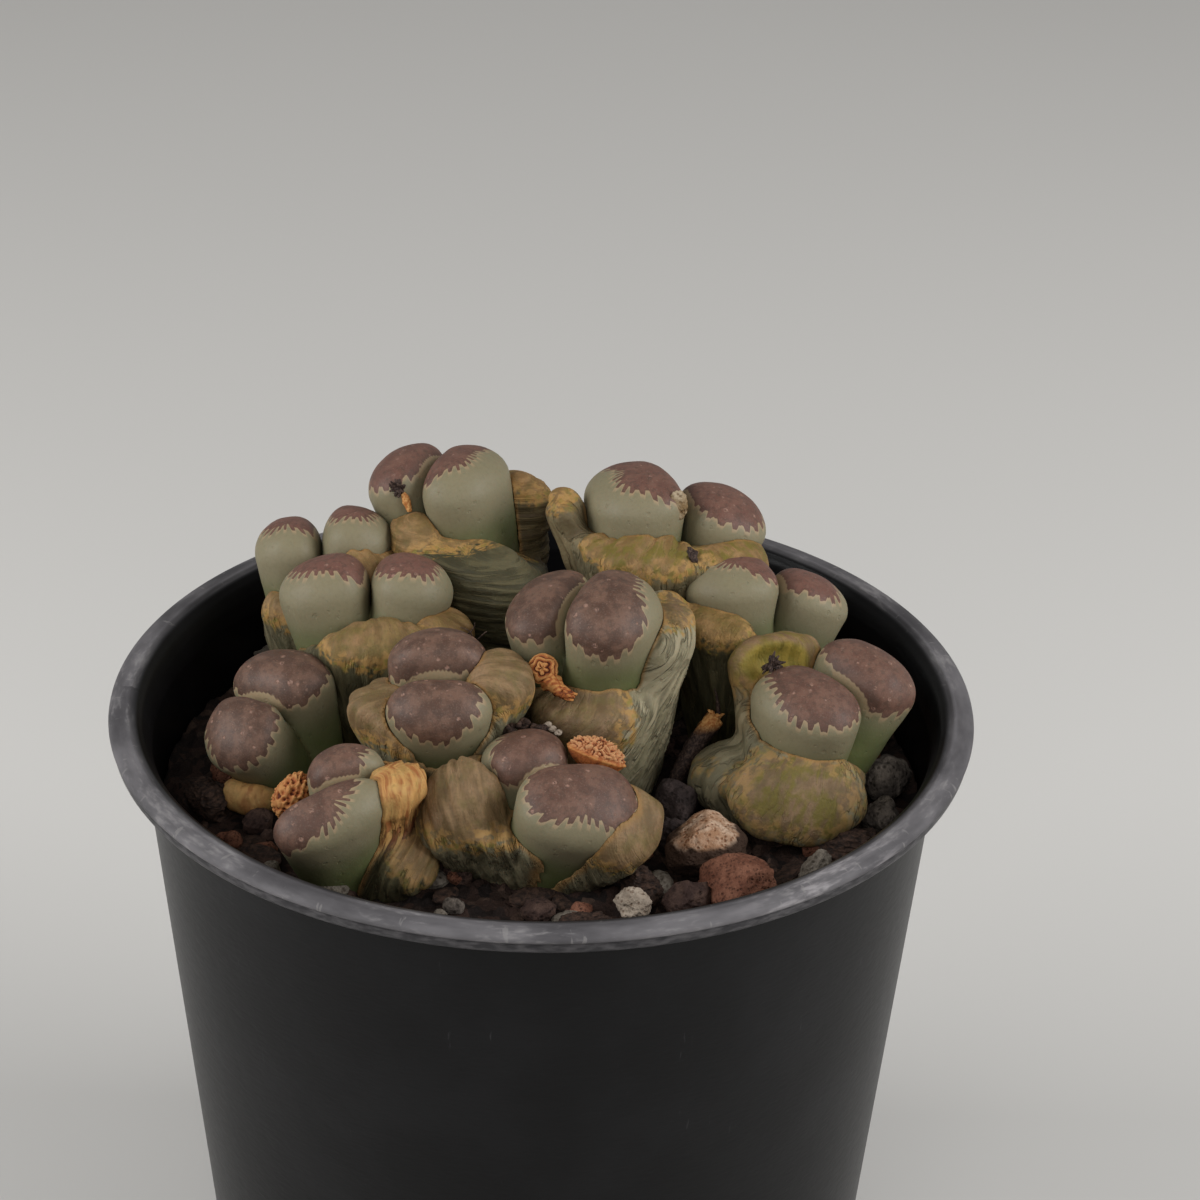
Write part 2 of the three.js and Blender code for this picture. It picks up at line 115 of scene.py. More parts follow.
# Each head: its root, the turn of its fissure's normal, its new leaves (shoulder, half-widths across and
# along the fissure, dome, and how far the face reaches to the front, back, left and right, where 1 is the
# shoulder), its old leaves (shoulder, half-widths, dome), its bulb's radius, and the collar that the old
# leaves make round the new ones: the height of its lip in some directions, in degrees from +X. Snug says
# how closely the new leaves are pressed together over their shoulders: 1 is usual, and less is rounder
HEADS = {
    "left": dict(
        root=(-32.5, 1.5), turn=56, bulb=5.2,
        collar=((-130, 94), (-60, 89), (20, 91), (100, 97), (180, 95)),
        new=[((-36, 2.2, 104.4), 5.9, 7.6, 4.8, (1.05, 0.95, 0.85, 0.75)),
             ((-41, -7, 101.3), 5.6, 5.9, 4.1, (0.85, 0.95, 0.5, 0.85))],
        old=[((-41.2, -10, 93.6), 2.4, 3.6, 2)]),
    "front_left": dict(
        root=(-25.5, -22.5), turn=112, bulb=6,
        collar=((-150, 90), (-90, 90), (-50, 91), (-22, 96), (-14, 101), (6, 107), (23, 108.5), (80, 104),
                (150, 95)),
        new=[((-25.5, -24, 105.8), 4.4, 5.3, 4, (0.95, 0.95, 0.95, 0.25)),
             ((-27.2, -31, 103.6), 4.8, 8, 4.2, (0.5, 0.95, 1.4, 0.2))],
        old=[((-18.8, -26.4, 104.6), 3.2, 5.6, 3.8), ((-17.2, -27.5, 95), 4.4, 5.2, 3)]),
    "middle_left": dict(
        root=(-13.9, -5.5), turn=93, bulb=6.5,
        collar=((-165, 111.5), (-121, 107.5), (-96, 103), (-67, 104), (-27, 109), (-8, 113.5), (20, 112),
                (90, 105), (150, 108)),
        new=[((-14.1, -7.4, 113.6), 5.6, 6.9, 4.9, (0.93, 0.95, 1.15, 0.83)),
             ((-13.7, -14.6, 110.4), 5.1, 7.2, 4.5, (1.07, 0.95, 0.8, 0.55))],
        old=[((-21.6, -10.6, 108.4), 4.6, 5.2, 3.1), ((-5.6, -9.2, 112.6), 4.6, 5.2, 3.2)]),
    "left_middle": dict(
        root=(-25, 10), turn=3, bulb=6.5, snug=0.5,
        collar=((-170, 104.5), (-142, 107.9), (-114, 110.9), (-67, 111.4), (-32, 112), (-4, 111), (40, 108),
                (100, 104), (160, 103)),
        new=[((-18.8, 13.7, 113.7), 5.7, 6.5, 4.8, (0.44, 0.95, 0.78, 0.3)),
             ((-30.6, 14.3, 112.7), 7.2, 6.6, 5.3, (0.37, 0.95, 0.45, 1))],
        old=[((-24, 4.6, 109.4), 4.2, 7, 3), ((-14, 9.2, 109.6), 4.2, 5, 2.8)]),
    "back_left_small": dict(
        root=(-32, 21.5), turn=2, bulb=5.6, snug=0.5,
        collar=((-158, 107.4), (-110, 110), (-73, 114), (-54, 116), (-8, 115), (30, 111), (100, 106),
                (170, 104)),
        new=[((-28, 25.8, 115), 5.8, 6, 5, (0.28, 0.8, 0.6, 0.3)),
             ((-37, 25.9, 113.1), 5.3, 6.1, 4.9, (0.23, 0.95, 0.45, 0.8))],
        old=[((-26.6, 19.8, 113.6), 3.6, 5, 2.9), ((-37.8, 19.4, 107), 2.4, 3, 2.9)]),
    "back_left": dict(
        root=(-6.5, 28.5), turn=-20, bulb=8,
        collar=((-150, 115), (-120, 117.5), (-82, 116.7), (-45, 114.6), (-15, 111), (3, 108.6), (15, 112),
                (40, 117), (80, 117), (130, 112), (180, 112)),
        new=[((-12.4, 31.5, 121.2), 6.6, 8.5, 5.6, (0.33, 0.95, 1.05, 0.26)),
             ((-20.4, 34.6, 120.4), 5.6, 8, 5.1, (0.74, 0.95, 0.66, 0.95))],
        old=[((-10.6, 19.6, 113.2), 5.4, 11.2, 4.1), ((-4.4, 36, 116.6), 4.2, 5, 4.7),
             ((-19.4, 25, 116.6), 3.4, 4.4, 3)]),
    "centre": dict(
        root=(8, 1.5), turn=-21, bulb=7.5,
        collar=((-165, 106), (-138, 108.5), (-98, 110.4), (-62, 110.9), (-25, 108), (-12, 108), (-5, 114),
                (5, 118), (40, 117), (90, 110), (150, 105)),
        new=[((8.9, -1.6, 118.4), 7.4, 8.2, 5.4, (1.12, 0.65, 0.66, 0.34)),
             ((0.6, 2.6, 116.8), 5.3, 8.5, 4.4, (1.02, 0.9, 0.75, 0.6))],
        old=[((16.4, 1.9, 114.3), 4.2, 8.8, 3.8), ((6.8, -7.7, 106.9), 5.4, 7.8, 2.8)]),
    "front": dict(
        root=(0, -20), turn=108, bulb=7.5,
        collar=((-173, 100.5), (-120, 100.5), (-88, 99.2), (-70, 95.5), (-56, 90.5), (-45, 92.5),
                (-32, 97.9), (-22, 101.9), (-10, 104), (30, 103.5), (80, 99), (120, 102), (150, 106),
                (171, 103)),
        new=[((-2.1, -17.9, 104.9), 4.7, 5.8, 4.4, (1.12, 0.95, 0.3, 0.95)),
             ((5.4, -28.4, 103.5), 6.2, 8.4, 5.1, (0.38, 0.95, 0.74, 0.66))],
        old=[((-10.7, -24.8, 101), 6.6, 5.8, 5.2), ((11, -27.2, 100.6), 5.6, 6.8, 4.2)]),
    "back_right": dict(
        root=(15, 24.5), turn=20, bulb=7.5,
        collar=((-168, 118.5), (-139, 120.5), (-119, 121), (-85, 119.5), (-54, 118.8), (-17, 116),
                (20, 113), (90, 110), (150, 115)),
        new=[((25.3, 27.6, 118.8), 6.1, 7.4, 4.6, (0.7, 0.95, 0.68, 0.63)),
             ((12.4, 26.8, 121.9), 7.2, 8.8, 4.9, (0.42, 0.95, 0.2, 1.2))],
        old=[((14, 17, 116.4), 4.2, 7.6, 3.6), ((27.6, 20.8, 115.7), 4.2, 5.9, 3.1),
             ((2.3, 24, 122.2), 2.6, 3, 2.6)]),
    "right_middle": dict(
        root=(27.5, 12.6), turn=16, bulb=6,
        collar=((-174, 112.5), (-135, 114), (-104, 110.3), (-64, 105.6), (-20, 102), (60, 101), (120, 106),
                (170, 111)),
        new=[((38, 17.9, 110.9), 5.3, 6.1, 3.9, (0.6, 0.95, 1, 0.28)),
             ((26.6, 16, 114), 6.9, 7, 4.5, (0.22, 0.8, 0.25, 0.9))],
        old=[((24.2, 8.4, 111), 3.8, 6.8, 3.2), ((17.6, 10.4, 113.2), 2.6, 3, 2.9)]),
    "right": dict(
        root=(35, -4.8), turn=53, bulb=7,
        collar=((-172, 105.8), (-157, 104.7), (-134, 103.7), (-107, 102.7), (-79, 101.7), (-40, 99),
                (-11, 97), (30, 95), (80, 97), (120, 106), (150, 109)),
        new=[((45, 0.8, 107.9), 6.1, 7.5, 4.9, (1.3, 0.95, 0.87, 0.83)),
             ((36, -7.1, 107.3), 5.8, 8, 4.9, (0.73, 0.8, 0.45, 0.81))],
        old=[((35.3, -12.4, 97.6), 3.4, 8.4, 3), ((32, 2.2, 110.8), 3.3, 7, 3.2),
             ((24.6, -6.6, 97.4), 4.8, 5.4, 2.7)]),
}


# Numbers and noise

def smooth(x, low=0.0, high=1.0):
    """Rises from 0 at low to 1 at high without a corner: t times t times (3 - 2t)."""
    t = np.clip((x - low) / (high - low), 0, 1)
    return t * t * (3 - 2 * t)


def unit(vector):
    """The same direction, one long."""
    return vector / np.linalg.norm(vector, axis=-1, keepdims=True)


def stack(*parts):
    """Numbers side by side along a new last axis, each spread to the shape of the others."""
    return np.stack(np.broadcast_arrays(*parts), axis=-1)


def circle(count):
    """Even angles once round."""
    return TURN * np.arange(count) / count


def three(kind, *inputs, seed):
    """Three noises of one kind side by side, from three seeds in a row."""
    return stack(*(kind(*inputs, seed + axis) for axis in range(3)))


def lattice(cell, seed):
    """A repeatable random number from 0 to 1 for each whole-number point: its digits mixed by odd
    multipliers."""
    i, j, k = (cell[..., axis].astype(np.uint64) for axis in range(3))
    mask = np.uint64(0xFFFFFFFF)
    mixed = (i * np.uint64(374761393) + j * np.uint64(668265263)
             + k * np.uint64(2246822519) + np.uint64(seed) * np.uint64(3266489917)) & mask
    mixed = ((mixed ^ (mixed >> np.uint64(13))) * np.uint64(1274126177)) & mask
    return (mixed ^ (mixed >> np.uint64(16))).astype(float) / 4294967295.0


def noise(points, size, seed=1):
    """Smooth noise from about -1 to 1 with bumps about `size` across: at each corner of a cube a slope in a
    random direction, blended along the three axes by the smooth step. A size of three numbers stretches the
    bumps."""
    scaled = points / np.asarray(size, float) + 1000.0
    base = np.floor(scaled)
    part = scaled - base
    blend = part ** 3 * (part * (6 * part - 15) + 10)
    total = 0.0
    for corner in np.ndindex(2, 2, 2):
        weight = np.prod(np.where(corner, blend, 1 - blend), axis=-1)
        slope = three(lattice, base + corner, seed=3 * seed) - 0.5
        total = total + weight * np.sum(slope * (part - corner), axis=-1)
    return 3.2 * total


def rough(points, size, seed=1, layers=3):
    """Noise in layers: each is half the size and half the height of the one before."""
    return sum(noise(points, np.asarray(size, float) / 2 ** n, seed + n) / 2 ** n for n in range(layers))


def creases(points, size, seed=1):
    """Sharp valleys between rounded ridges, from 0 in a valley to 1: the size of the noise, where the
    points are first pushed about by slower noise, so that the valleys wander."""
    push = three(noise, points, 4.5, seed=seed + 11)
    return np.clip(2.2 * np.abs(noise(points + 0.9 * push, size, seed)), 0, 1)


def cells(points, size, seed=1):
    """Distance to the nearest of scattered points, one in each cube of `size`, in sizes, and that point's own
    random number."""
    scaled = points / size + 1000.0
    base = np.floor(scaled)
    nearest = np.full(points.shape[:-1], 9.0)
    owner = np.zeros(points.shape[:-1])
    for step in np.ndindex(3, 3, 3):
        cell = base + np.array(step) - 1
        seedling = cell + three(lattice, cell, seed=seed)
        distance = np.linalg.norm(scaled - seedling, axis=-1)
        closer = distance < nearest
        nearest = np.where(closer, distance, nearest)
        owner = np.where(closer, lattice(cell, seed + 7), owner)
    return nearest, owner


# Meshes. A skin is a closed surface: its points, its faces of four corners and its faces of three

def closed_skin(rows, top, bottom):
    """A skin of rows that each go once round, with one point to close each end."""
    count, around = rows.shape[:2]
    points = np.concatenate([[top], rows.reshape(-1, 3), [bottom]])
    row = 1 + around * np.arange(count - 1)[:, None]
    here, after = np.arange(around), (np.arange(around) + 1) % around
    quads = stack(row + here, row + after, row + around + after, row + around + here)
    last = 1 + around * (count - 1)
    caps = np.concatenate([stack(0, 1 + after, 1 + here), stack(len(points) - 1, last + here, last + after)])
    return points, quads.reshape(-1, 4), caps


def unit_ball(around=40, rows=16):
    """A ball of radius 1, whose points are also their own directions."""
    angle = (math.pi * np.arange(1, rows) / rows)[:, None]
    turn = circle(around)
    return closed_skin(stack(np.sin(angle) * np.cos(turn), np.sin(angle) * np.sin(turn), np.cos(angle)),
                       np.array([0, 0, 1.0]), np.array([0, 0, -1.0]))


def egg(middle, half, tilt=0):
    """A ball stretched to these half-sizes, and tipped about X."""
    points, quads, tris = unit_ball()
    points = points * np.array(half, float)
    return (turned(points, tilt, 0) if tilt else points) + np.array(middle, float), quads, tris


def several(skins):
    """Several skins as one: their points one after another, and their faces counted on."""
    points, *faces = zip(*skins)
    starts = np.cumsum([0] + [len(some) for some in points])
    return np.concatenate(points), *(
        np.concatenate([some + start for some, start in zip(kind, starts)]) for kind in faces)


def turned(points, tilt, turn):
    """Tips points about X and then turns them about Z."""
    tipping = Matrix.Rotation(math.radians(tilt), 3, "X")
    return points @ np.array(Matrix.Rotation(math.radians(turn), 3, "Z") @ tipping).T


def aimed(points, facing):
    """Turns points that stand along Z so that they look the given way."""
    turn = Vector((0, 0, 1)).rotation_difference(Vector(facing).normalized()).to_matrix()
    return points @ np.array(turn).T


def volume(points, quads, tris):
    """The volume that the faces enclose: positive where they point outwards."""
    faces = np.concatenate([tris, quads[:, :3], quads[:, [0, 2, 3]]])
    a, b, c = (points[faces[:, corner]] for corner in range(3))
    return np.sum(a * np.cross(b, c)) / 6


def add_object(name, data):
    """A new object of the scene."""
    piece = bpy.data.objects.new(name, data)
    bpy.context.scene.collection.objects.link(piece)
    return piece


def build(name, points, quads, tris, flat=False):
    """A mesh object of a skin, with its faces turned outwards and smooth unless it is flat."""
    if volume(points, quads, tris) < 0:
        quads, tris = quads[:, ::-1], tris[:, ::-1]
    mesh = bpy.data.meshes.new(name)
    mesh.vertices.add(len(points))
    mesh.vertices.foreach_set("co", (points * MM).ravel())
    corners = np.concatenate([quads.ravel(), tris.ravel()]).astype(np.int32)
    starts = np.concatenate([4 * np.arange(len(quads)), 4 * len(quads) + 3 * np.arange(len(tris))])
    mesh.loops.add(len(corners))
    mesh.loops.foreach_set("vertex_index", corners)
    mesh.polygons.add(len(starts))
    mesh.polygons.foreach_set("loop_start", starts.astype(np.int32))
    mesh.update(calc_edges=True)
    mesh.polygons.foreach_set("use_smooth", np.full(len(starts), not flat))
    return add_object(name, mesh)


def vectors(collection, name):
    """The vectors that the members of a Blender collection hold under a name."""
    flat = np.empty(3 * len(collection), np.float32)
    collection.foreach_get(name, flat)
    return flat.reshape(-1, 3).astype(float)


def get_points(piece):
    """The points of a piece, in millimetres."""
    return vectors(piece.data.vertices, "co") / MM


def set_points(piece, points):
    """Moves the points of a piece."""
    piece.data.vertices.foreach_set("co", (points * MM).ravel())
    piece.data.update()


def push_out(piece, distance):
    """Moves each point of a piece by its own distance along the way that it faces."""
    facing = vectors(piece.data.vertex_normals, "vector")
    set_points(piece, get_points(piece) + facing * distance[:, None])


def relax(piece, rounds):
    """Softens a skin: each point moves halfway to the mean of the points that it shares an edge with."""
    edges = np.empty(2 * len(piece.data.edges), np.int32)
    piece.data.edges.foreach_get("vertices", edges)
    one, other = edges.reshape(-1, 2).T
    points = get_points(piece)
    count = len(points)
    shared = np.bincount(one, minlength=count) + np.bincount(other, minlength=count)
    for _ in range(rounds):
        total = stack(*(np.bincount(one, along[other], count) + np.bincount(other, along[one], count)
                        for along in points.T))
        points += 0.5 * (total / np.maximum(shared, 1)[:, None] - points)
    set_points(piece, points)


def reshape(piece, kind, **settings):
    """Runs one modifier on a piece, and makes the result its mesh."""
    modifier = piece.modifiers.new(kind, kind)
    for name, value in settings.items():
        setattr(modifier, name, value)
    view = bpy.context.evaluated_depsgraph_get()
    finished = bpy.data.meshes.new_from_object(piece.evaluated_get(view))
    piece.modifiers.clear()
    old = piece.data
    piece.data = finished
    bpy.data.meshes.remove(old)
    finished.polygons.foreach_set("use_smooth", np.ones(len(finished.polygons), bool))


def combine(piece, other, operation):
    """Joins another closed piece to this one, or cuts it away, and uses it up."""
    reshape(piece, "BOOLEAN", operation=operation, object=other, solver="MANIFOLD")
    bpy.data.objects.remove(other)


def one_skin(piece):
    """Fuses overlapping bodies into one skin of even squares."""
    reshape(piece, "REMESH", mode="VOXEL", voxel_size=VOXEL * MM)


def attach(piece, name, *parts):
    """Keeps three numbers with each point of a piece, for its material to read."""
    values = np.broadcast_to(stack(*parts), (len(piece.data.vertices), 3))
    layer = piece.data.attributes.new(name, "FLOAT_VECTOR", "POINT")
    layer.data.foreach_set("vector", values.astype(np.float32).ravel())


def finish_piece(piece, material, slot, *nodes):
    """Gives a piece its material and its body, and hides the solids that it stands for. Its slot is not used.
    """
    piece.data.materials.clear()
    piece.data.materials.append(material)
    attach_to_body(piece, "root")
    if nodes:
        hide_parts(*nodes)


# Materials

class Value:
    """A socket that carries a number or a vector, so that shader sums can be written as Python
    expressions."""

    def __init__(self, graph, socket):
        self.graph, self.socket = graph, socket

    def math(self, operation, *others):
        """A number worked out from this one and others by a Math node."""
        return self.graph.math(operation, self, *others)

    def __add__(self, other):
        return self.math("ADD", other)

    def __mul__(self, other):
        return self.math("MULTIPLY", other)

    __radd__, __rmul__ = __add__, __mul__

    def __sub__(self, other):
        return self.math("SUBTRACT", other)

    def __rsub__(self, other):
        return self.graph.math("SUBTRACT", other, self)

    def clamp(self):
        """This, but at least 0 and at most 1."""
        return self.math("MAXIMUM", 0.0).math("MINIMUM", 1.0)

    def rise(self, low, high):
        """From 0 where this is low to 1 where it is high, without a corner."""
        return self.graph.node("ShaderNodeMapRange", dict(interpolation_type="SMOOTHSTEP"), {
            "Value": self, "From Min": low, "From Max": high, "To Min": 0.0, "To Max": 1.0})

    def zigzag(self):
        """A wave with straight flanks: 1 at whole numbers and 0 halfway between them."""
        return (self.math("FRACT") * 2.0 - 1.0).math("ABSOLUTE")


class Finish:
    """A material under construction: a Principled shader, and short ways to add the nodes that feed it."""

    def __init__(self, name, **constants):
        self.material = bpy.data.materials.new(name)
        self.material.use_nodes = True
        self.tree = self.material.node_tree
        self.shader = self.tree.nodes["Principled BSDF"]
        for socket, value in constants.items():
            self.shader.inputs[socket.replace("_", " ").title().replace("Ior", "IOR")].default_value = value
        coordinates = self.tree.nodes.new("ShaderNodeTexCoord")
        self.place = self.scaled(Value(self, coordinates.outputs["Object"]), (1 / MM,) * 3)

    def node(self, kind, settings, inputs, output=0):
        """Adds a node: its settings first, then its sockets' numbers, colours or links. Gives one output."""
        node = self.tree.nodes.new(kind)
        for name, value in settings.items():
            setattr(node, name, value)
        for name, value in inputs.items():
            socket = node.inputs[name]
            if isinstance(value, Value):
                self.tree.links.new(value.socket, socket)
            else:
                socket.default_value = value
        return Value(self, node.outputs[output])

    def math(self, operation, *values):
        """A Math node on these values."""
        return self.node("ShaderNodeMath", dict(operation=operation), dict(enumerate(values)))

    def scaled(self, vector, factors):
        """A vector times three numbers, one for each axis."""
        return self.node("ShaderNodeVectorMath", dict(operation="MULTIPLY"), {0: vector, 1: factors})

    def kept(self, name):
        """What a piece keeps with its points under this name: the three numbers, and the vector of them."""
        attribute = self.node("ShaderNodeAttribute", dict(attribute_name=name), {}, "Vector")
        return self.split(attribute), attribute

    def split(self, vector):
        """The three parts of a vector."""
        outputs = self.node("ShaderNodeSeparateXYZ", {}, {0: vector}).socket.node.outputs
        return [Value(self, outputs[axis]) for axis in range(3)]

    def noise(self, size, detail=2.0, stretch=(1.0, 1.0, 1.0), where=None):
        """Noise from 0 to 1 with bumps about `size` millimetres across."""
        return self.node("ShaderNodeTexNoise", {}, {
            "Vector": self.scaled(where or self.place, stretch), "Scale": 1 / size, "Detail": detail,
            "Roughness": 0.55})

    def spots(self, size, where=None, output="Distance", randomness=1.0):
        """Scattered cells about `size` millimetres across: the distance to each middle, or its own colour."""
        return self.node("ShaderNodeTexVoronoi", {}, {
            "Vector": where or self.place, "Scale": 1 / size, "Randomness": randomness}, output)

    def mix(self, share, one, other):
        """Blends two colours: all of the other where the share is 1."""
        one, other = (c if isinstance(c, Value) else (*c, 1.0) for c in (one, other))
        sockets = {0: share, 6: one, 7: other}
        return self.node("ShaderNodeMix", dict(data_type="RGBA", clamp_factor=True), sockets, 2)

    def coats(self, colour, *coats):
        """A colour with others laid over it one by one, each given by its share and its tone."""
        for share, tone in coats:
            colour = self.mix(share, colour, tone)
        return colour

    def done(self, colour, roughness=None, relief=None, depth=0.2):
        """Links the colour, roughness and relief, given in millimetres of depth, and gives the material."""
        self.tree.links.new(colour.socket, self.shader.inputs["Base Color"])
        if roughness is not None:
            self.tree.links.new(roughness.socket, self.shader.inputs["Roughness"])
        if relief is not None:
            sockets = {"Strength": 1.0, "Distance": depth * MM, "Height": relief}
            self.tree.links.new(self.node("ShaderNodeBump", {}, sockets).socket, self.shader.inputs["Normal"])
        return self.material


def new_leaf_finish():
    """Waxy leaf skin: a mauve-brown face with pale dots and a toothed cream margin, over grey-green sides.
    The teeth are a wave round the leaf, of uneven width and length, with flat ends. Along the fissure they
    are small."""
    f = Finish("waxy_new_leaf", roughness=0.5, specular_ior_level=0.3, subsurface_weight=0.06,
               subsurface_scale=0.0012)
    (margin, down, groove), _ = f.kept("leaf_map")
    (blush, apart, _), _ = f.kept("leaf_tone")
    (across, along, count), ring = f.kept("leaf_ring")
    turns = f.math("ARCTAN2", along, across) * count * (1 / TURN) + 0.6 * f.noise(0.45, 1.0, where=ring)
    length = 0.6 + 0.9 * f.noise(0.22, 1.0, where=ring).rise(0.3, 0.7)
    fine = f.noise(0.35) - 0.5
    calm = 0.25 + 0.75 * groove.rise(0.6, 3.5)
    outer = (margin + length * calm * (turns.zigzag().rise(0.3, 0.66) - 0.5) + 0.4 * fine
             + 0.9 * (f.noise(2.2, 1.0) - 0.5))
    inner = (groove - apart) * 0.8 + 0.12 * ((turns * 2.0).zigzag() - 0.5) + 0.1 * fine
    edge = outer.math("MINIMUM", inner)
    dot, (shown, flecked, size) = f.spots(1.5), f.split(f.spots(1.5, output="Color"))
    smudge = f.noise(0.3).rise(0.36, 0.56)
    dots = (1 - (dot - 0.16 * size).rise(0.02, 0.16)) * shown.rise(0.3, 0.45) * smudge
    flecks = (1 - f.spots(0.7).rise(0.05, 0.25)) * flecked.rise(0.3, 0.8)
    skin = f.coats(
        f.mix(f.noise(2.4, 3.0).rise(0.38, 0.62), (0.084, 0.045, 0.031), (0.147, 0.082, 0.057)),
        (blush * 0.85, (0.175, 0.078, 0.06)),
        (f.noise(0.8, 3.0).rise(0.45, 0.7) * 0.6, (0.07, 0.042, 0.031)),
        (f.noise(0.22, 1.0).rise(0.5, 0.75) * 0.3, (0.2, 0.14, 0.108)),
        ((1 - edge.rise(0.0, 1.3)) * 0.35, (0.07, 0.042, 0.03)),
        (dots * 0.7, (0.34, 0.2, 0.15)),
        (flecks * 0.35, (0.3, 0.185, 0.14)))
    side = f.coats(
        f.mix(down.rise(0.5, 6.0), (0.208, 0.18, 0.11), (0.121, 0.124, 0.059)),
        (down.rise(2.0, 10.0), (0.103, 0.124, 0.041)),
        (f.noise(3.5).rise(0.35, 0.75) * 0.3, (0.2, 0.184, 0.106)),
        (f.noise(0.5, 3.0).rise(0.4, 0.8) * 0.25, (0.12, 0.108, 0.062)),
        ((edge + 1.0).rise(0.0, 0.95) * 0.85, (0.325, 0.238, 0.142)),
        # painted shade: the side is darker where it meets the other leaf in the slit
        ((1 - groove.rise(0.05, 0.7)) * 0.6, (0.09, 0.08, 0.03)))
    relief = f.noise(0.28) * 0.35 + f.noise(1.4) * 0.5 - dots * 0.6
    return f.done(f.mix(edge.rise(-0.07, 0.09), side, skin), 0.46 + 0.14 * f.noise(1.2), relief, 0.1)


def old_leaf_finish():
    """Shrivelling leaf skin: a tan face with green streaks, a band of faded ochre teeth, and a grey-green
    to dark body under it, crossed by fine sharp creases. The body's dark green is partly its own dark olive
    and partly painted shade, and the creases and folds are darkened by painted shade. Dry skin is orange, and
    scorched along its fibres at its lower end."""
    f = Finish("shrivelled_old_leaf", roughness=0.6, specular_ior_level=0.25, subsurface_weight=0.05,
               subsurface_scale=0.0012)
    (margin, down, lip), _ = f.kept("leaf_map")
    (dry, warm, fold), _ = f.kept("leaf_tone")
    (shade, inside, scorch), _ = f.kept("leaf_shade")
    (green, crumple, faded), _ = f.kept("leaf_trim")
    _, ring = f.kept("leaf_ring")
    _, streak = f.kept("leaf_streak")
    fine = f.noise(0.8, 3.0)
    edge = margin + 2.4 * (f.spots(1.7, ring, randomness=0.9) - 0.42) + 1.8 * (fine - 0.5)
    face = edge.rise(-0.4, 0.6)
    fibre = f.noise(0.9, 3.0, where=streak)
    crease = (f.noise(0.9, where=streak) - 0.5).math("ABSOLUTE").rise(0.0, 0.05)
    creased = (1 - crease) * f.noise(3.0, 1.0).rise(0.35, 0.6) * (0.25 + 0.75 * (1 - face)) * crumple
    cloud = (f.noise(3.4, 3.0) * 0.5 + fibre * 0.5).rise(0.38, 0.62)
    blotch = (1 - edge.rise(0.6, 2.4)) * f.noise(1.4, 3.0).rise(0.44, 0.56)
    tan = f.coats(
        f.mix(cloud, (0.13, 0.086, 0.046), (0.245, 0.16, 0.096)),
        (warm, f.mix(cloud, (0.17, 0.104, 0.032), (0.32, 0.186, 0.078))),
        (f.noise(2.1).rise(0.5, 0.72) * 0.4, (0.118, 0.104, 0.03)),
        (green * (fibre * 0.7 + f.noise(2.4) * 0.6).rise(0.56, 0.76), (0.13, 0.108, 0.018)),
        (f.noise(0.4, 3.0).rise(0.42, 0.75) * 0.35, (0.105, 0.07, 0.03)),
        (blotch * 0.85 * faded, (0.37, 0.22, 0.078)))
    veins = fibre.rise(0.35, 0.65)
    pale_green = f.mix(veins, (0.19, 0.168, 0.1), (0.3, 0.26, 0.168))
    dark_green = f.mix(veins, (0.02, 0.018, 0.006), (0.062, 0.052, 0.019))
    band = (edge + 2.2).rise(0.0, 1.2) * f.noise(1.2, 3.0).rise(0.36, 0.52)
    # The body goes from pale to dark green by each head's shade, partly its own dark olive and partly painted
    # shade under the face, and by painted shade further down the leaf
    body = f.coats(
        f.mix((shade + down.rise(6.0, 16.0) * 0.3).clamp(), pale_green, dark_green),
        # painted shade: darker along the valleys of the folds that the skin is wrinkled into
        ((1 - fold.rise(0.05, 0.4)) * 0.5, (0.045, 0.04, 0.02)),
        (band * 0.9 * faded,
         f.mix(f.noise(1.0).rise(0.45, 0.65), (0.36, 0.205, 0.062), (0.235, 0.18, 0.04))))
    orange = f.coats(
        f.mix(fibre.rise(0.38, 0.58), (0.3, 0.112, 0.034), (0.49, 0.262, 0.088)),
        (f.noise(2.6).rise(0.45, 0.66) * 0.6, (0.52, 0.335, 0.12)),
        (f.noise(1.3, 3.0).rise(0.55, 0.68) * 0.4, (0.2, 0.12, 0.03)),
        (scorch * (1 - fibre.rise(0.46, 0.58)), (0.15, 0.042, 0.022)))
    colour = f.coats(
        f.mix(face, body, tan),
        (inside, f.mix(cloud, (0.11, 0.1, 0.012), (0.25, 0.19, 0.028))),
        (dry, orange),
        # painted shade: darker along the fine creases, which are also pressed in as relief
        (creased * 0.5, (0.04, 0.034, 0.016)),
        ((1 - lip.rise(0.2, 0.8)) * 0.65, (0.3, 0.165, 0.055)))
    relief = fibre * 0.9 + fine * 0.45 + f.noise(0.3, 3.0) * 0.3 - creased * 1.0
    return f.done(colour, 0.55 + 0.2 * fibre, relief, 0.24)


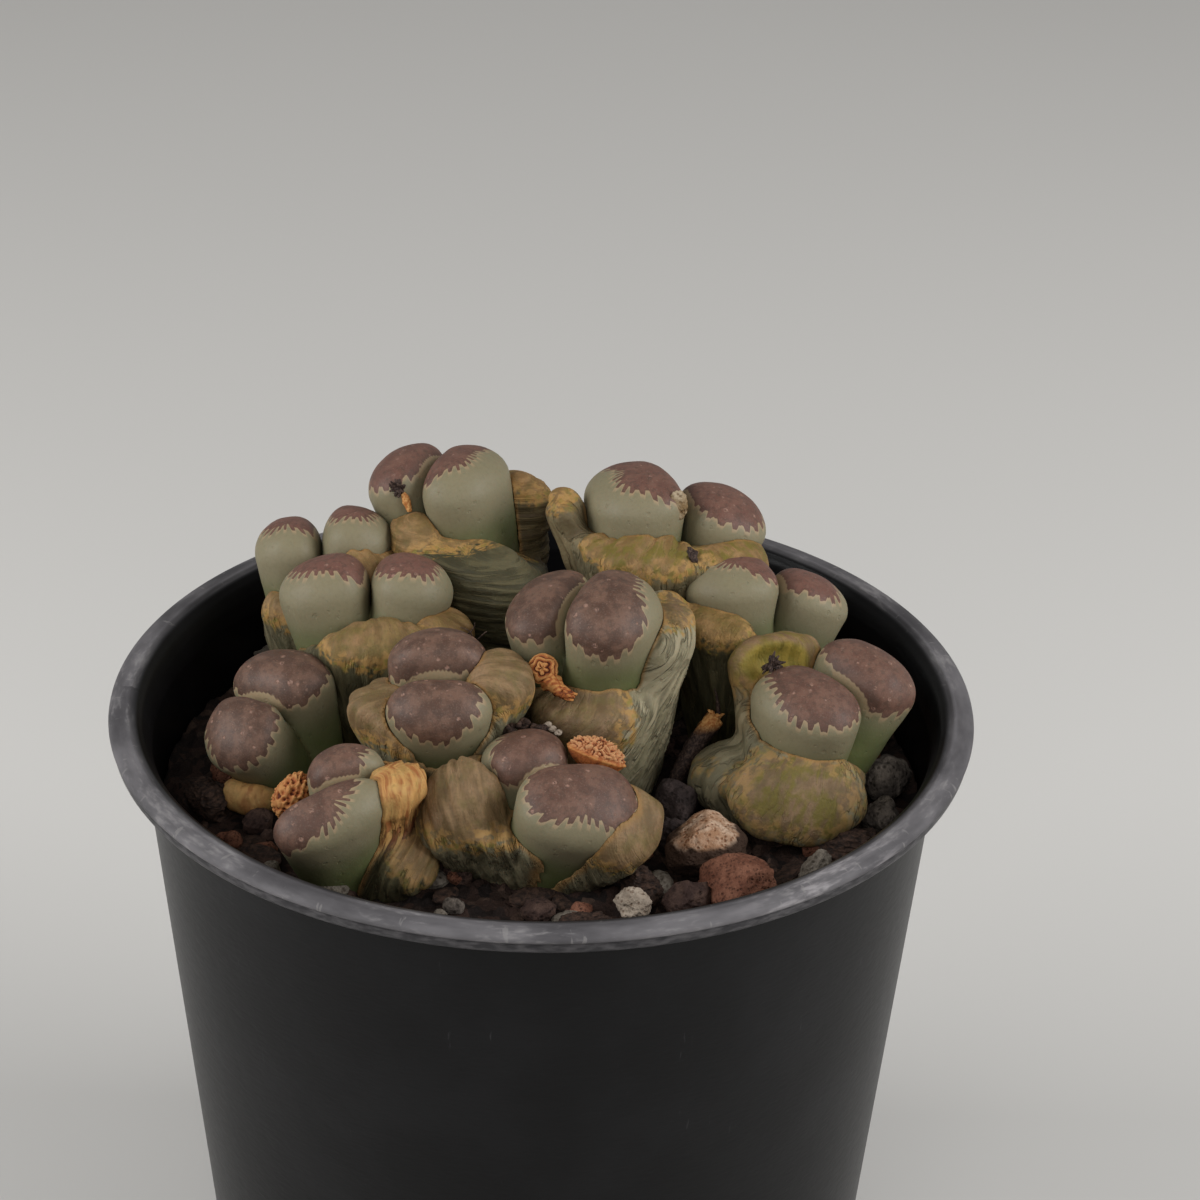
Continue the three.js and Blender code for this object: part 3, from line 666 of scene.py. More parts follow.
def pot_finish():
    """Black moulded plastic: faint scratches on the wall, and a rim gone grey, with scuffs and lime streaks
    that run round it. Its patterns lie on the angle round the pot, the radius and the height."""
    f = Finish("black_pot_plastic", specular_ior_level=0.14)
    x, y, z = f.split(f.place)
    radius = (x * x + y * y).math("SQRT")
    angle = f.math("ARCTAN2", y, x)
    unrolled = f.node("ShaderNodeCombineXYZ", {}, {0: angle * RIM_RADIUS, 1: radius, 2: z})

    def round_pot(size, detail, stretch):
        """Noise on those three, drawn out round the pot by a stretch under 1."""
        return f.noise(size, detail, (stretch, 1.0, 1.0), unrolled)

    scuff, fine, cloud = round_pot(5.0, 4.0, 0.35), round_pot(0.6, 3.0, 0.3), round_pot(14.0, 2.0, 1.0)
    lime = (scuff * 0.5 + fine * 0.45 + cloud * 0.35).rise(0.66, 0.84)
    streaky = (round_pot(1.4, 3.0, 0.18) * 0.7 + fine * 0.3).rise(0.46, 0.66)
    patch = (1 - (angle - LIME_PLACE).math("ABSOLUTE").rise(0.05, 0.32)) * streaky
    nick = f.noise(1.6, 2.0, (1.6, 0.5, 0.5), unrolled).rise(0.66, 0.72)
    worn = f.coats(
        f.mix(scuff.rise(0.3, 0.72), (0.062, 0.059, 0.063), (0.15, 0.143, 0.15)),
        (lime * 0.7, (0.24, 0.23, 0.23)),
        (patch * 0.6, (0.34, 0.32, 0.33)),
        (nick * 0.45, (0.24, 0.23, 0.225)))
    scratch = f.noise(0.9, 3.0, (1.0, 1.0, 0.07)).rise(0.68, 0.75) * f.noise(9.0, 1.0).rise(0.52, 0.7)
    flange = (radius - (RIM_RADIUS - 2.6)).rise(0.0, 1.0) * (z - (POT_HEIGHT - 3.2)).rise(0.0, 0.6)
    rim = (radius - (RIM_RADIUS - 4)).rise(0.0, 1.6) * (z - (POT_HEIGHT - 1.8)).rise(0.0, 0.7)
    colour = f.coats(
        f.mix(f.noise(18.0, 3.0).rise(0.4, 0.7), (0.0032, 0.0032, 0.0036), (0.0055, 0.0055, 0.0062)),
        (scratch * 0.5, (0.045, 0.045, 0.047)),
        (flange, f.mix(fine.rise(0.35, 0.7), (0.03, 0.029, 0.031), (0.075, 0.071, 0.074))),
        (rim, worn))
    return f.done(colour, 0.3 + 0.24 * rim + 0.1 * fine, fine * 0.5 + f.noise(2.5) * 0.4, 0.05)


def mix_finish():
    """Damp potting mix: dark brown fines with redder and paler grains."""
    f = Finish("damp_potting_mix", specular_ior_level=0.25)
    grain = f.split(f.spots(1.5, output="Color"))
    colour = f.coats(
        f.mix(grain[0].rise(0.2, 0.9), (0.008, 0.0045, 0.0035), (0.033, 0.017, 0.012)),
        (grain[1].rise(0.85, 0.97) * 0.7, (0.075, 0.045, 0.032)),
        (f.noise(0.4, 3.0).rise(0.45, 0.75) * 0.5, (0.01, 0.006, 0.005)))
    return f.done(colour, 0.75 + 0.2 * f.noise(0.8), f.noise(0.35, 4.0) + f.spots(0.9), 0.25)


def stone_finish(name, dark, light, speck, grain=0.8, dirt_and_shade_height=None):
    """Stone of two tones in soft patches, with fine specks and pits. A stone given a height is dark brown
    below it, partly dirt and partly painted shade on its lower side."""
    f = Finish(name, specular_ior_level=0.25)
    pit = f.spots(grain)
    colour = f.coats(
        f.mix(f.noise(2.2, 4.0).rise(0.35, 0.68), dark, light),
        ((1 - pit.rise(0.12, 0.42)) * 0.8, speck),
        (f.noise(0.3, 3.0).rise(0.4, 0.8) * 0.4, speck))
    if dirt_and_shade_height is not None:
        # dark brown below the given height: partly dirt and partly painted shade on the stone's lower side
        height = f.split(f.place)[2] + 2.4 * (f.noise(2.6, 3.0) - 0.5)
        colour = f.mix((height - dirt_and_shade_height).rise(-0.4, 0.5), (0.045, 0.024, 0.015), colour)
    return f.done(colour, 0.65 + 0.3 * f.noise(0.6), pit.rise(0.1, 0.5) * 0.8 + f.noise(0.3, 4.0), 0.22)


def bark_finish():
    """Dark bark: brown layers with paler edges."""
    f = Finish("damp_bark", specular_ior_level=0.25)
    layer = f.noise(0.8, 4.0, (1.0, 1.0, 3.0))
    colour = f.coats(
        f.mix(layer.rise(0.35, 0.7), (0.014, 0.008, 0.006), (0.062, 0.034, 0.023)),
        (f.noise(2.0).rise(0.55, 0.8) * 0.5, (0.095, 0.058, 0.042)))
    return f.done(colour, 0.7 + 0.2 * layer, layer + f.noise(0.3, 3.0) * 0.4, 0.3)


def husk_finish():
    """Dry papery tissue: orange-yellow ridges over red-brown hollows, coloured by how high each point
    stands, so the hollows are darker partly by their own colour and partly by painted shade.
    """
    f = Finish("dry_husk", specular_ior_level=0.25, subsurface_weight=0.05, subsurface_scale=0.001)
    (ridge, pale, _), _ = f.kept("husk_map")
    level = ridge + 0.35 * (f.noise(0.5, 3.0) - 0.5)
    # partly the tissue's own colour and partly painted shade and light: darker red-brown where points stand
    # low in the hollows, more orange where they stand high on the ridges
    colour = f.coats(
        f.mix(level.rise(0.15, 0.5), (0.08, 0.016, 0.007), (0.32, 0.095, 0.024)),
        (level.rise(0.5, 0.9), (0.47, 0.215, 0.066)),
        (pale * level.rise(0.3, 0.8), (0.52, 0.29, 0.165)))
    return f.done(colour, 0.6 + 0.25 * f.noise(0.4), f.noise(0.22, 3.0), 0.12)


def withered_finish():
    """Withered petals and stalk: near-black brown with paler fibres, or orange where it glows."""
    f = Finish("withered_flower", specular_ior_level=0.3)
    (glow, _, _), _ = f.kept("husk_map")
    fibre = f.noise(0.35, 3.0)
    colour = f.coats(
        f.mix(fibre.rise(0.4, 0.7), (0.022, 0.012, 0.01), (0.095, 0.06, 0.045)),
        (glow, f.mix(fibre.rise(0.35, 0.65), (0.4, 0.14, 0.035), (0.62, 0.34, 0.12))))
    return f.done(colour, 0.6 + 0.25 * fibre, fibre, 0.12)


# New leaves

def dome_width(up):
    """How wide a dome is at a share of its height, where 1 is its foot's width: a rounded quarter circle."""
    return np.clip(1 - up ** DOME_POWER, 0, 1) ** (1 / DOME_POWER)


class Leaf:
    """One leaf, from its root to its shoulder with a dome above it. Its section is an ellipse, flattened
    where it meets the fissure, and it narrows towards the root. Snug is how closely it is pressed to the
    other leaf over the shoulder: its section fills out along the fissure, and its dome leans over."""

    def __init__(self, root, shoulder, side, sizes, neck, fissure=NO_FISSURE, snug=1.0):
        self.shoulder = np.array(shoulder, float)
        axis = self.shoulder - root
        self.length = np.linalg.norm(axis)
        self.axis = axis / self.length
        self.a = unit(side - self.axis * (side @ self.axis))
        self.b = np.cross(self.axis, self.a)
        self.across, self.along, self.dome = sizes
        self.fissure, self.neck = fissure, neck
        self.lean = TOP_LEAN * snug * fissure if fissure < NO_FISSURE else 0.0
        self.fill = 1 + (FISSURE_FILL - 1) * snug

    def halves(self, down):
        """The section's half-widths across and along the fissure, at a share of the way down to the root."""
        scale = 1 - (1 - self.neck) * down
        return (self.across + (self.along - self.across) * ROUNDING * down) * scale, self.along * scale

    def rim(self, t, down):
        """How far the skin lies from the axis at angle t: the power mean of the ellipse and the fissure's
        plane."""
        half_a, half_b = self.halves(down)
        pressed = FISSURE_PRESS * self.fissure * (1 - down)
        wall = pressed + self.across * FUSE_WIDTH * smooth(down, 0.12, 0.52)
        if self.fissure < NO_FISSURE:
            half_a = np.where(np.cos(t) < 0, np.maximum(half_a, self.fill * pressed), half_a)
        ellipse = 1 / np.hypot(np.cos(t) / half_a, np.sin(t) / half_b)
        inward = np.maximum(-np.cos(t), 1e-9)
        plane = np.where(np.cos(t) < -0.001, wall / inward, 1e9)
        return (ellipse ** -CORNER_POWER + plane ** -CORNER_POWER) ** (-1 / CORNER_POWER)

    def shift(self, height):
        """How far the dome leans over the fissure: by the square of the height over the shoulder."""
        return self.lean * np.clip(height / self.dome, 0, 1) ** 2

    def at(self, t, height, radius):
        """The point at angle t, so far above the shoulder and so far from the axis."""
        t, height, radius = np.broadcast_arrays(t, height, radius)
        x = radius * np.cos(t) - self.shift(height)
        return (self.shoulder + self.axis * height[..., None] + self.a * x[..., None]
                + self.b * (radius * np.sin(t))[..., None])

    def skin(self, grow=0.0, around=72, domes=18, walls=24):
        """Rows at even steps of angle over the dome, then evenly down the wall to the root."""
        t = circle(around)
        up = np.cos((math.pi / 2 * np.arange(1, domes + 1) / domes)[:, None])
        over = self.at(t, up * (self.dome + grow), (self.rim(t, 0.0) + grow) * dome_width(up))
        down = (np.arange(1, walls + 1) / walls)[:, None]
        under = self.at(t, -down * self.length, self.rim(t, down) + grow)
        return closed_skin(np.concatenate([over, under]), self.at(0.0, self.dome + grow, 0.0),
                           self.at(0.0, -self.length, 0.0))

    def read(self, points):
        """For points anywhere: their angle, height over the shoulder, distance from the axis in units of the
        skin's own (1 on the skin, less inside), and how far the skin lies from the axis there."""
        offset = points - self.shoulder
        height = offset @ self.axis
        x, y = offset @ self.a + self.shift(height), offset @ self.b
        t = np.arctan2(y, x)
        rim = self.rim(t, np.clip(-height / self.length, 0, 1))
        level = ((np.hypot(x, y) / rim) ** DOME_POWER + np.clip(height / self.dome, 0, None) ** DOME_POWER)
        return t, height, level ** (1 / DOME_POWER), rim

    def outside(self, points):
        """About how far points lie outside the skin, in millimetres."""
        _, _, level, rim = self.read(points)
        return (level - 1) * np.minimum(rim, self.dome + 2)

    def face_map(self, points, reach):
        """How far points lie inside the face's margin and below the shoulder, in millimetres, and their
        angle round the leaf. The reach is the margin's way from the top to the front, back, left and
        right."""
        t, height, _, rim = self.read(points)
        arc = math.pi / 2 * np.sqrt((rim ** 2 + self.dome ** 2) / 2)
        inside = np.arccos(np.clip(height / self.dome, 0, 1)) / (math.pi / 2)
        way = np.where(height > 0, inside, 1 - height / arc)
        heading = unit((np.cos(t)[:, None] * self.a + np.sin(t)[:, None] * self.b)[:, :2])
        front, back, left, right = reach
        aside, ahead = heading.T
        far = (np.where(ahead < 0, front, back) * ahead ** 2 + np.where(aside < 0, left, right) * aside ** 2)
        return (far - way) * arc, -height, t


def new_leaves(head):
    """The two leaves of a head's new pair, pressed together along the fissure."""
    root = np.array([*head["root"], NEW_ROOT], float)
    turn = math.radians(head["turn"])
    normal = np.array([math.cos(turn), math.sin(turn), 0.0])
    one, other = (np.array(leaf[0], float) for leaf in head["new"])
    fissure = max((one - other) @ normal / 2, LEAST_FISSURE) - SLIT
    return [Leaf(root, leaf[0], side, leaf[1:4], NEW_NECK, fissure, head.get("snug", 1.0))
            for leaf, side in zip(head["new"], (normal, -normal))]


def old_leaves(head):
    """The leaves of a head's old pair, each leaning out from the root."""
    root = np.array([*head["root"], OLD_ROOT], float)
    return [Leaf(root, leaf[0], unit((np.array(leaf[0], float) - root) * (1, 1, 0)), leaf[1:4], OLD_NECK)
            for leaf in head["old"]]


def nearest_outside(points, leaves):
    """About how far points lie outside the nearer of two leaves."""
    return np.minimum(*(leaf.outside(points) for leaf in leaves))


def new_pair_body(name, leaves, grow=0.0, **steps):
    """Both new leaves as one closed body."""
    body = build(name, *leaves[0].skin(grow, **steps))
    combine(body, build(name + "_other", *leaves[1].skin(grow, **steps)), "UNION")
    return body


# How pink the faces of some heads are
BLUSH = {
    "back_left": 0.55, "back_right": 0.6, "back_left_small": 0.8, "left_middle": 0.85, "right_middle": 0.8,
    "right": 0.3, "front": 0.2, "front_left": 0.15,
}


def make_new_pair(name, head, finish, seed):
    """A head's new pair, slightly uneven, with the maps that its face and sides are painted by."""
    leaves = new_leaves(head)
    piece = new_pair_body("new_pair_" + name, leaves)
    points = get_points(piece)
    push_out(piece, 0.16 * noise(points, 6, seed) + 0.05 * noise(points, 2.2, seed + 1))
    maps = [leaf.face_map(points, row[4]) for leaf, row in zip(leaves, head["new"])]
    level = [leaf.read(points)[2] for leaf in leaves]
    first = np.abs(level[0] - 1) < np.abs(level[1] - 1)
    margin, down, angle = (np.where(first, one, other) for one, other in zip(*maps))
    teeth = np.where(first, *(round(TURN * (leaf.across + leaf.along) / 2 / TOOTH) for leaf in leaves))
    groove = np.where(first, leaves[1].outside(points), leaves[0].outside(points))
    further = first == (leaves[0].shoulder[1] > leaves[1].shoulder[1])
    attach(piece, "leaf_map", margin, down, np.clip(groove, 0, 9))
    attach(piece, "leaf_ring", np.cos(angle), np.sin(angle), teeth)
    attach(piece, "leaf_tone", BLUSH.get(name, 0.0), np.where(further, *FISSURE_BANDS), 0)
    finish_piece(piece, finish, "new_leaf", "new_leaves_" + name)


# Old leaves

# Each head's old leaves: how warm the tan is, how dry (orange) each leaf is, how deep the wrinkles are, how
# far the tan face reaches down each leaf, how dark the body under it is, which is partly the body's own dark
# olive and partly painted shade. Some heads have more: green streaks, ochre teeth that are fainter than 1,
# deeper fine creases, darkened by painted shade, or grooves, wrinkles that run round the body, along the lip,
# upright at a slope or aslant, leaves that narrow less to their root, tops that lean in, the height that
# dryness starts from, the heights between which it is scorched, what ends a leaf's face (a plane by a point
# and its normal, or a width along the lip), a pad that bulges out, and a dish pressed into a leaf that curls,
# both as a middle and half-sizes, the pad with a tilt. Depth, grooves and reach are one number, or one for
# each leaf
OLD_LOOKS = {
    "left": dict(warm=0.9, dry=(0.55,), depth=0.3, reach=1.3, shade=0.4),
    "front_left": dict(
        warm=0.5, dry=(1.0, 0.15), depth=0.34, reach=(1.0, 0.6), shade=0.85, necks=(1.0, 0.9), along_lip=True,
        dry_from=95.5, scorch=(103, 98), crumple=0.7, ochre=0.5),
    "middle_left": dict(warm=0.35, dry=(0, 0), depth=0.3, reach=1.15, shade=0.45, necks=(0.8, 0.85)),
    "left_middle": dict(
        warm=0.65, dry=(0, 0.1), depth=0.25, reach=0.8, shade=0.8, necks=(0.85, 0.8), green=0.4),
    "back_left_small": dict(warm=0.6, dry=(0.1, 0), depth=0.25, reach=1.0, shade=0.6),
    "back_left": dict(
        warm=0.8, dry=(0, 0.1, 0), depth=0.3, reach=(0.3, 0.6, 1.1), shade=0.85, necks=(0.85,),
        edges=(2.4, None, None), round=True),
    "centre": dict(
        warm=0.15, dry=(0, 0), depth=0.36, reach=0.2, shade=0.0, necks=(0.95, 0.95), twist=-0.07,
        edges=(None, ((10.4, -11.5, 104.6), (-0.91, 0.19, 0.36))), crumple=1.0, green=0.3),
    "front": dict(
        warm=0.3, dry=(0, 0), depth=(0.42, 0.2), grooves=(0.7, 0.1), upright=0.3, reach=1.0, shade=0.4,
        necks=(0.7, 0.85), lean=(3.4, 0.8), edges=(((-8.7, -32, 101), (0.05, 0.3, 0.95)), None), crumple=0.9),
    "back_right": dict(
        warm=0.8, dry=(0.05, 0.05, 0.1), depth=(0.3, 0.3, 0.5), grooves=(0.7, 0.3, 0.8),
        reach=(0.62, 0.95, 0.5), shade=0.6, necks=(0.62, 0.8, 0.7), green=0.95, crumple=0.8),
    "right_middle": dict(warm=1.0, dry=(0, 0.1), depth=0.25, reach=0.7, shade=0.85, necks=(0.8,), green=0.4),
    "right": dict(
        warm=0.1, dry=(0, 0.1, 0), depth=(0.14, 0.3, 0.5), grooves=(0.1, 0.4, 0.9), reach=(1.0, 1.35, -0.3),
        shade=0.38, necks=(0.9, 0.75, 0.85), dish=((34, -2.4, 111.6), (6.2, 4.2, 3.4)),
        pad=((35.3, -14.2, 98), (9.7, 3.6, 6.8), 33), green=0.85, crumple=0.9, ochre=0.6),
}

# What holds where a head's look says nothing of it. A scorch this low is under the mix
USUAL_LOOK = dict(
    necks=(), lean=(), edges=(), grooves=0.5, twist=0.0, dry_from=89, scorch=(1, 0), green=0.15,
    crumple=0.5, ochre=1)


def centre_line(head, young, height):
    """Where a head's own leaning axis stands at each height."""
    top = np.mean([leaf.shoulder for leaf in young], axis=0)
    lean = (top - (*head["root"], OLD_ROOT)) / (top[2] - OLD_ROOT)
    return np.array([*head["root"], 0.0]) + lean * (height - OLD_ROOT)[..., None] * (1, 1, 0)


def collar_skin(head, young, old):
    """The collar round a head: in each direction it rises to its own height. Its skin is the convex outline
    of the leaves' sections at each height, found from how far they reach in every direction: the outline
    lies at the least of reach / cos(angle between). The lip is rolled in as a quarter circle."""
    around, steps = 80, 34
    direction = circle(around)
    heading = stack(np.cos(direction), np.sin(direction), 0)
    angles, heights = np.array(head["collar"], float).T
    level = np.interp(np.degrees(direction), angles, heights, period=360)
    share = 1 - (1 - np.linspace(0, 1, steps)) ** 1.5
    height = COLLAR_FOOT + (level - COLLAR_FOOT) * share[:, None]
    centre = centre_line(head, young, height)
    reach = np.full((steps, around, around), 1.0)
    for leaf, extra in [(leaf, COLLAR_THICKNESS) for leaf in young] + [(leaf, 0.0) for leaf in old]:
        along = (height - leaf.shoulder[2]) / leaf.axis[2]
        closing = dome_width(np.clip(along / leaf.dome, 0, 1))
        down = np.clip(-along / leaf.length, 0, 1)
        half_a, half_b = ((half + extra) * closing for half in leaf.halves(down))
        spot = leaf.shoulder + leaf.axis * along[..., None] - centre
        width = np.hypot(half_a[..., None] * (heading @ leaf.a), half_b[..., None] * (heading @ leaf.b))
        support = spot[..., :2] @ heading[:, :2].T + width
        reach = np.where((closing > 0.05)[..., None], np.maximum(reach, support), reach)
    facing = np.cos(direction[:, None] - direction)
    outline = np.nanmin(reach / np.where(facing > 0.1, facing, np.nan), axis=2)
    rolling = np.clip(1 - (level - height) / LIP, 0, 1)
    radius = outline - LIP * (1 - np.sqrt(1 - rolling ** 2))
    rows = centre + radius[..., None] * heading[None]
    rows[..., 2] = height
    return closed_skin(rows, rows[0].mean(axis=0), rows[-1].mean(axis=0))


def wrinkle_frame(points, head, young, look):
    """The place of points in the frame that wrinkles follow: they run out from the new leaves and down, or
    as the head's look says."""
    x, y, z = points.T
    offset = points - centre_line(head, young, z)
    turn = np.arctan2(offset[:, 1], offset[:, 0]) + look["twist"] * (z - SOIL_LEVEL)
    way_x, way_y = 8 * np.cos(turn), 8 * np.sin(turn)
    if look.get("round"):
        return stack(way_x / 4.5, way_y / 4.5, z / 0.8)
    if "upright" in look:
        return stack((x + look["upright"] * z) / 1.3, y / 8, z / 8)
    if look.get("along_lip"):
        return stack(nearest_outside(points, young) / 0.8, way_x / 8, z / 8)
    return stack(way_x / 1.3, way_y / 1.3, (z - np.hypot(offset[:, 0], offset[:, 1])) / 8)


def pad_border(points, middle, half, tilt):
    """How far points lie inside the border of a tilted pad, in millimetres, and how close to its skin they
    are."""
    offset = turned(points - middle, tilt, 0) / half
    close = 1 - smooth(np.abs(np.linalg.norm(offset, axis=-1) - 1), 0.15, 0.35)
    return (PAD_FACE - np.hypot(offset[:, 0], offset[:, 2])) * half[2], close


def nearness(points, old):
    """How much each old leaf counts at each point: the shares fall off with distance and add up to one."""
    levels = np.stack([leaf.read(points)[2] for leaf in old])
    weight = np.exp(-9 * (levels - levels.min(axis=0)))
    return weight / weight.sum(axis=0)


def old_leaf_maps(points, young, old, look):
    """For points on an old pair, blended from its leaves by nearness: how far inside the faces' margins and
    below the shoulders, how dry, and their place on a ring round the nearest leaf."""
    weight = nearness(points, old)
    reaches = np.broadcast_to(look["reach"], len(old))
    margins, downs, angles = zip(*(leaf.face_map(points, (reach,) * 4) for leaf, reach in zip(old, reaches)))
    margins = list(margins)
    for number, edge in enumerate(look["edges"]):
        if isinstance(edge, tuple):
            margins[number] = (points - edge[0]) @ unit(np.array(edge[1]))
        elif edge:
            margins[number] = edge - nearest_outside(points, young)
    margin, down = (sum(w * m for w, m in zip(weight, part)) for part in (margins, downs))
    if "pad" in look:
        border, close = pad_border(points, *look["pad"])
        margin = margin + close * (border - margin)
    above = smooth(points[:, 2], look["dry_from"], look["dry_from"] + 4)
    dry = sum(w * d for w, d in zip(weight, look["dry"])) * above
    owner = weight.argmax(axis=0)
    angle, size = np.choose(owner, angles), np.array([leaf.along for leaf in old])[owner]
    return margin, down, dry, (np.cos(angle) * size, np.sin(angle) * size, 9.0 * owner)


def make_old_pair(name, head, finish, seed):
    """A head's old pair: its leaves, collar and bulb fused into one skin, wrinkled, and hollowed by the new
    pair."""
    look = USUAL_LOOK | OLD_LOOKS[name]
    young, old = new_leaves(head), old_leaves(head)
    for leaf, neck in zip(old, look["necks"]):
        leaf.neck = neck
    for leaf, lean in zip(old, look["lean"]):
        leaf.lean = lean
    skins = [leaf.skin(0.0, 60, 12, 20) for leaf in old]
    skins.append(egg((*head["root"], OLD_ROOT), np.array([1, 1, 0.8]) * head["bulb"]))
    skins.append(collar_skin(head, young, old))
    if "pad" in look:
        middle, half, tilt = look["pad"]
        skins.append(egg(middle, half, -tilt))
    piece = build("old_pair_" + name, *several(skins))
    one_skin(piece)
    if "dish" in look:
        combine(piece, build("dish", *egg(*look["dish"])), "DIFFERENCE")
        one_skin(piece)
    relax(piece, SOFTENING)

    points = get_points(piece)
    _, down, dry, _ = old_leaf_maps(points, young, old, look)
    wrinkled = wrinkle_frame(points, head, young, look)
    fold, fine = creases(wrinkled, 1.0, seed), creases(wrinkled, 0.5, seed + 3)
    shrunk = 0.2 + 0.8 * smooth(down, -1.0, 6.0) + 0.5 * dry
    weight = nearness(points, old)
    depth = np.broadcast_to(look["depth"], len(old)) @ weight
    grooves = np.broadcast_to(look["grooves"], len(old)) @ weight
    rise = depth * shrunk * (1.3 * (fold - 0.6) + 0.5 * (fine - 0.6)) + 0.3
    rise = rise + 0.45 * noise(points, 5.5, seed + 5)
    rise = rise + grooves * (creases(wrinkled, 1.5, seed + 6) - 0.6)
    push_out(piece, rise + 0.45 * dry * noise(points, 2.6, seed + 7))
    relax(piece, 1)
    combine(piece, new_pair_body("hollow", young, HOLLOW_GAP, domes=16), "DIFFERENCE")

    points = get_points(piece)
    margin, down, dry, ring = old_leaf_maps(points, young, old, look)
    wrinkled = wrinkle_frame(points, head, young, look)
    fold = np.where(down > 0.3, creases(wrinkled, 1.0, seed), 1.0)
    inside = 0
    if "dish" in look:
        middle, half = look["dish"]
        inside = 1 - smooth(np.linalg.norm((points - middle) / half, axis=-1), 1.0, 1.16)
    top, foot = look["scorch"]
    scorch = smooth(top - points[:, 2], 0, top - foot)
    streak = wrinkled * 1.6 + 0.15 * three(noise, points, 2.6, seed=seed + 20)
    attach(piece, "leaf_map", margin, down, nearest_outside(points, young))
    attach(piece, "leaf_ring", *(part + seed for part in ring))
    attach(piece, "leaf_tone", dry, look["warm"], fold)
    attach(piece, "leaf_shade", look["shade"], inside, scorch)
    attach(piece, "leaf_trim", look["green"], look["crumple"], look["ochre"])
    attach(piece, "leaf_streak", *streak.T)
    finish_piece(piece, finish, "old_leaf", "old_leaves_" + name)


# Stones, bark and the mix

def planes_radius(direction, seed, planes, power):
    """How far a broken stone reaches in each direction: it is the space inside some random planes, with edges
    rounded by a power mean."""
    random = np.random.default_rng(seed)
    facing = unit(random.normal(size=(planes, 3)))
    distance = random.uniform(0.78, 1.0, planes)
    towards = np.clip(direction @ facing.T / distance, 1e-6, None)
    return np.sum(towards ** power, axis=-1) ** (-1 / power)


def stone_skin(at, half, turn, tilt, seed, around, rows, planes=14, power=10, grain=0, pits=0, grooves=0):
    """A stone: its planes, then noise, pits or lengthwise grooves pressed into it along each direction."""
    way, quads, tris = unit_ball(around, rows)
    half = np.array(half, float)
    spot = way * half
    reach = np.clip(planes_radius(way, seed, planes, power), 0.3, 1.12)
    if grain:
        reach = reach * (1 + grain * rough(spot, half.mean() / 2, seed) / half.mean())
    if pits:
        hole, size = cells(spot, 1.1, seed)
        reach = reach - pits * (1 - smooth(hole, 0.15, 0.5)) * size / half.mean()
    if grooves:
        reach = reach - grooves * creases(spot, (6, 0.9, 0.5), seed) / half.mean()
    return turned(spot * reach[:, None], tilt, turn) + at, quads, tris


# The kinds of stone: the material's name, a finish name that is passed on but not used, the dark and light
# tones, the specks' tone, and for some the specks' size and the height below which the stone is dark brown,
# partly dirt and partly painted shade
STONE_KINDS = {
    "lava": (
        "red_lava", "red_stone", (0.125, 0.045, 0.025), (0.215, 0.092, 0.055), (0.062, 0.024, 0.015), 0.5),
    "brown": ("brown_lava", "red_stone", (0.038, 0.02, 0.016), (0.08, 0.046, 0.034), (0.022, 0.012, 0.01)),
    "grey": ("grey_grit", "grey_stone", (0.065, 0.053, 0.045), (0.18, 0.15, 0.125), (0.034, 0.026, 0.021)),
    "dusk": ("dark_grit", "grey_stone", (0.024, 0.016, 0.015), (0.052, 0.036, 0.033), (0.014, 0.01, 0.009)),
    "pale": ("pale_grit", "pale_stone", (0.11, 0.092, 0.072), (0.19, 0.165, 0.135), (0.06, 0.046, 0.034)),
    "white": ("white_grit", "pale_stone", (0.27, 0.22, 0.17), (0.42, 0.35, 0.28), (0.15, 0.095, 0.06), 0.6),
    "pumice": (
        "pumice", "pale_stone", (0.33, 0.185, 0.105), (0.56, 0.41, 0.3), (0.2, 0.072, 0.024), 0.6, 97.0),
    "torn": ("torn_skin", "pale_stone", (0.2, 0.13, 0.06), (0.43, 0.35, 0.24), (0.11, 0.055, 0.018), 0.7),
}

# The larger stones and pieces of bark: middle, half-sizes, turn, tilt, and the kind of a stone
STONES = {
    "pumice": ((22.4, -22.4, 94.6), (5.3, 4.6, 4.5), 15, 8, "pumice"),
    "lava": ((27.2, -31, 94.2), (5.4, 4.2, 3.5), -20, 6, "lava"),
    "grey_round": ((48.6, -2, 93.6), (3.3, 3.1, 3.2), 30, 0, "grey"),
    "grey_small": ((47.4, -11.4, 93.4), (3.1, 2.8, 2.5), 70, 12, "grey"),
    "pointed": ((37.6, -27, 94.2), (2.1, 2, 3.1), 10, 14, "pale"),
    "white": ((13.1, -34.2, 93.1), (2.4, 2.1, 2), 0, 20, "white"),
    "middle": ((19, -10.4, 93.8), (2.8, 3.6, 3.8), 20, 18, "dusk"),
    "middle_small": ((18.2, -17, 93), (2.4, 2.3, 2.6), 50, 0, "dusk"),
    "front_brown": ((20.2, -32.4, 93), (3.2, 2.6, 2.4), 35, 10, "brown"),
    "pale_flat": ((-41, 30.4, 92.2), (2.8, 2.2, 1.8), 40, 15, "pale"),
}
BARKS = {
    "right": ((43, -18.6, 93.2), (4.6, 3.2, 1.8), -25, 14),
    "front_right": ((34.6, -33.6, 92.8), (4.8, 3, 1.5), -12, 10),
    "middle": ((14.4, -29.4, 92.6), (2.8, 3.4, 2.3), 20, 25),
    "front": ((6.4, -38.4, 92.6), (3.8, 2.3, 1.6), 12, 8),
    "left": ((-46.4, -9.6, 93.2), (3.1, 3.8, 2.8), 25, 20),
}

# The loose grit: how many stones are tried, the half-sizes of small and large ones, the share of small ones,
# and each kind's share
GRIT_TRIES = 520
SMALL_GRIT = (0.8, 2.5)
LARGE_GRIT = (2.2, 3.2)
SMALL_SHARE = 0.75
GRIT_SHARES = {"lava": 0.22, "bark": 0.48, "grey": 0.05, "pale": 0.04, "brown": 0.21}


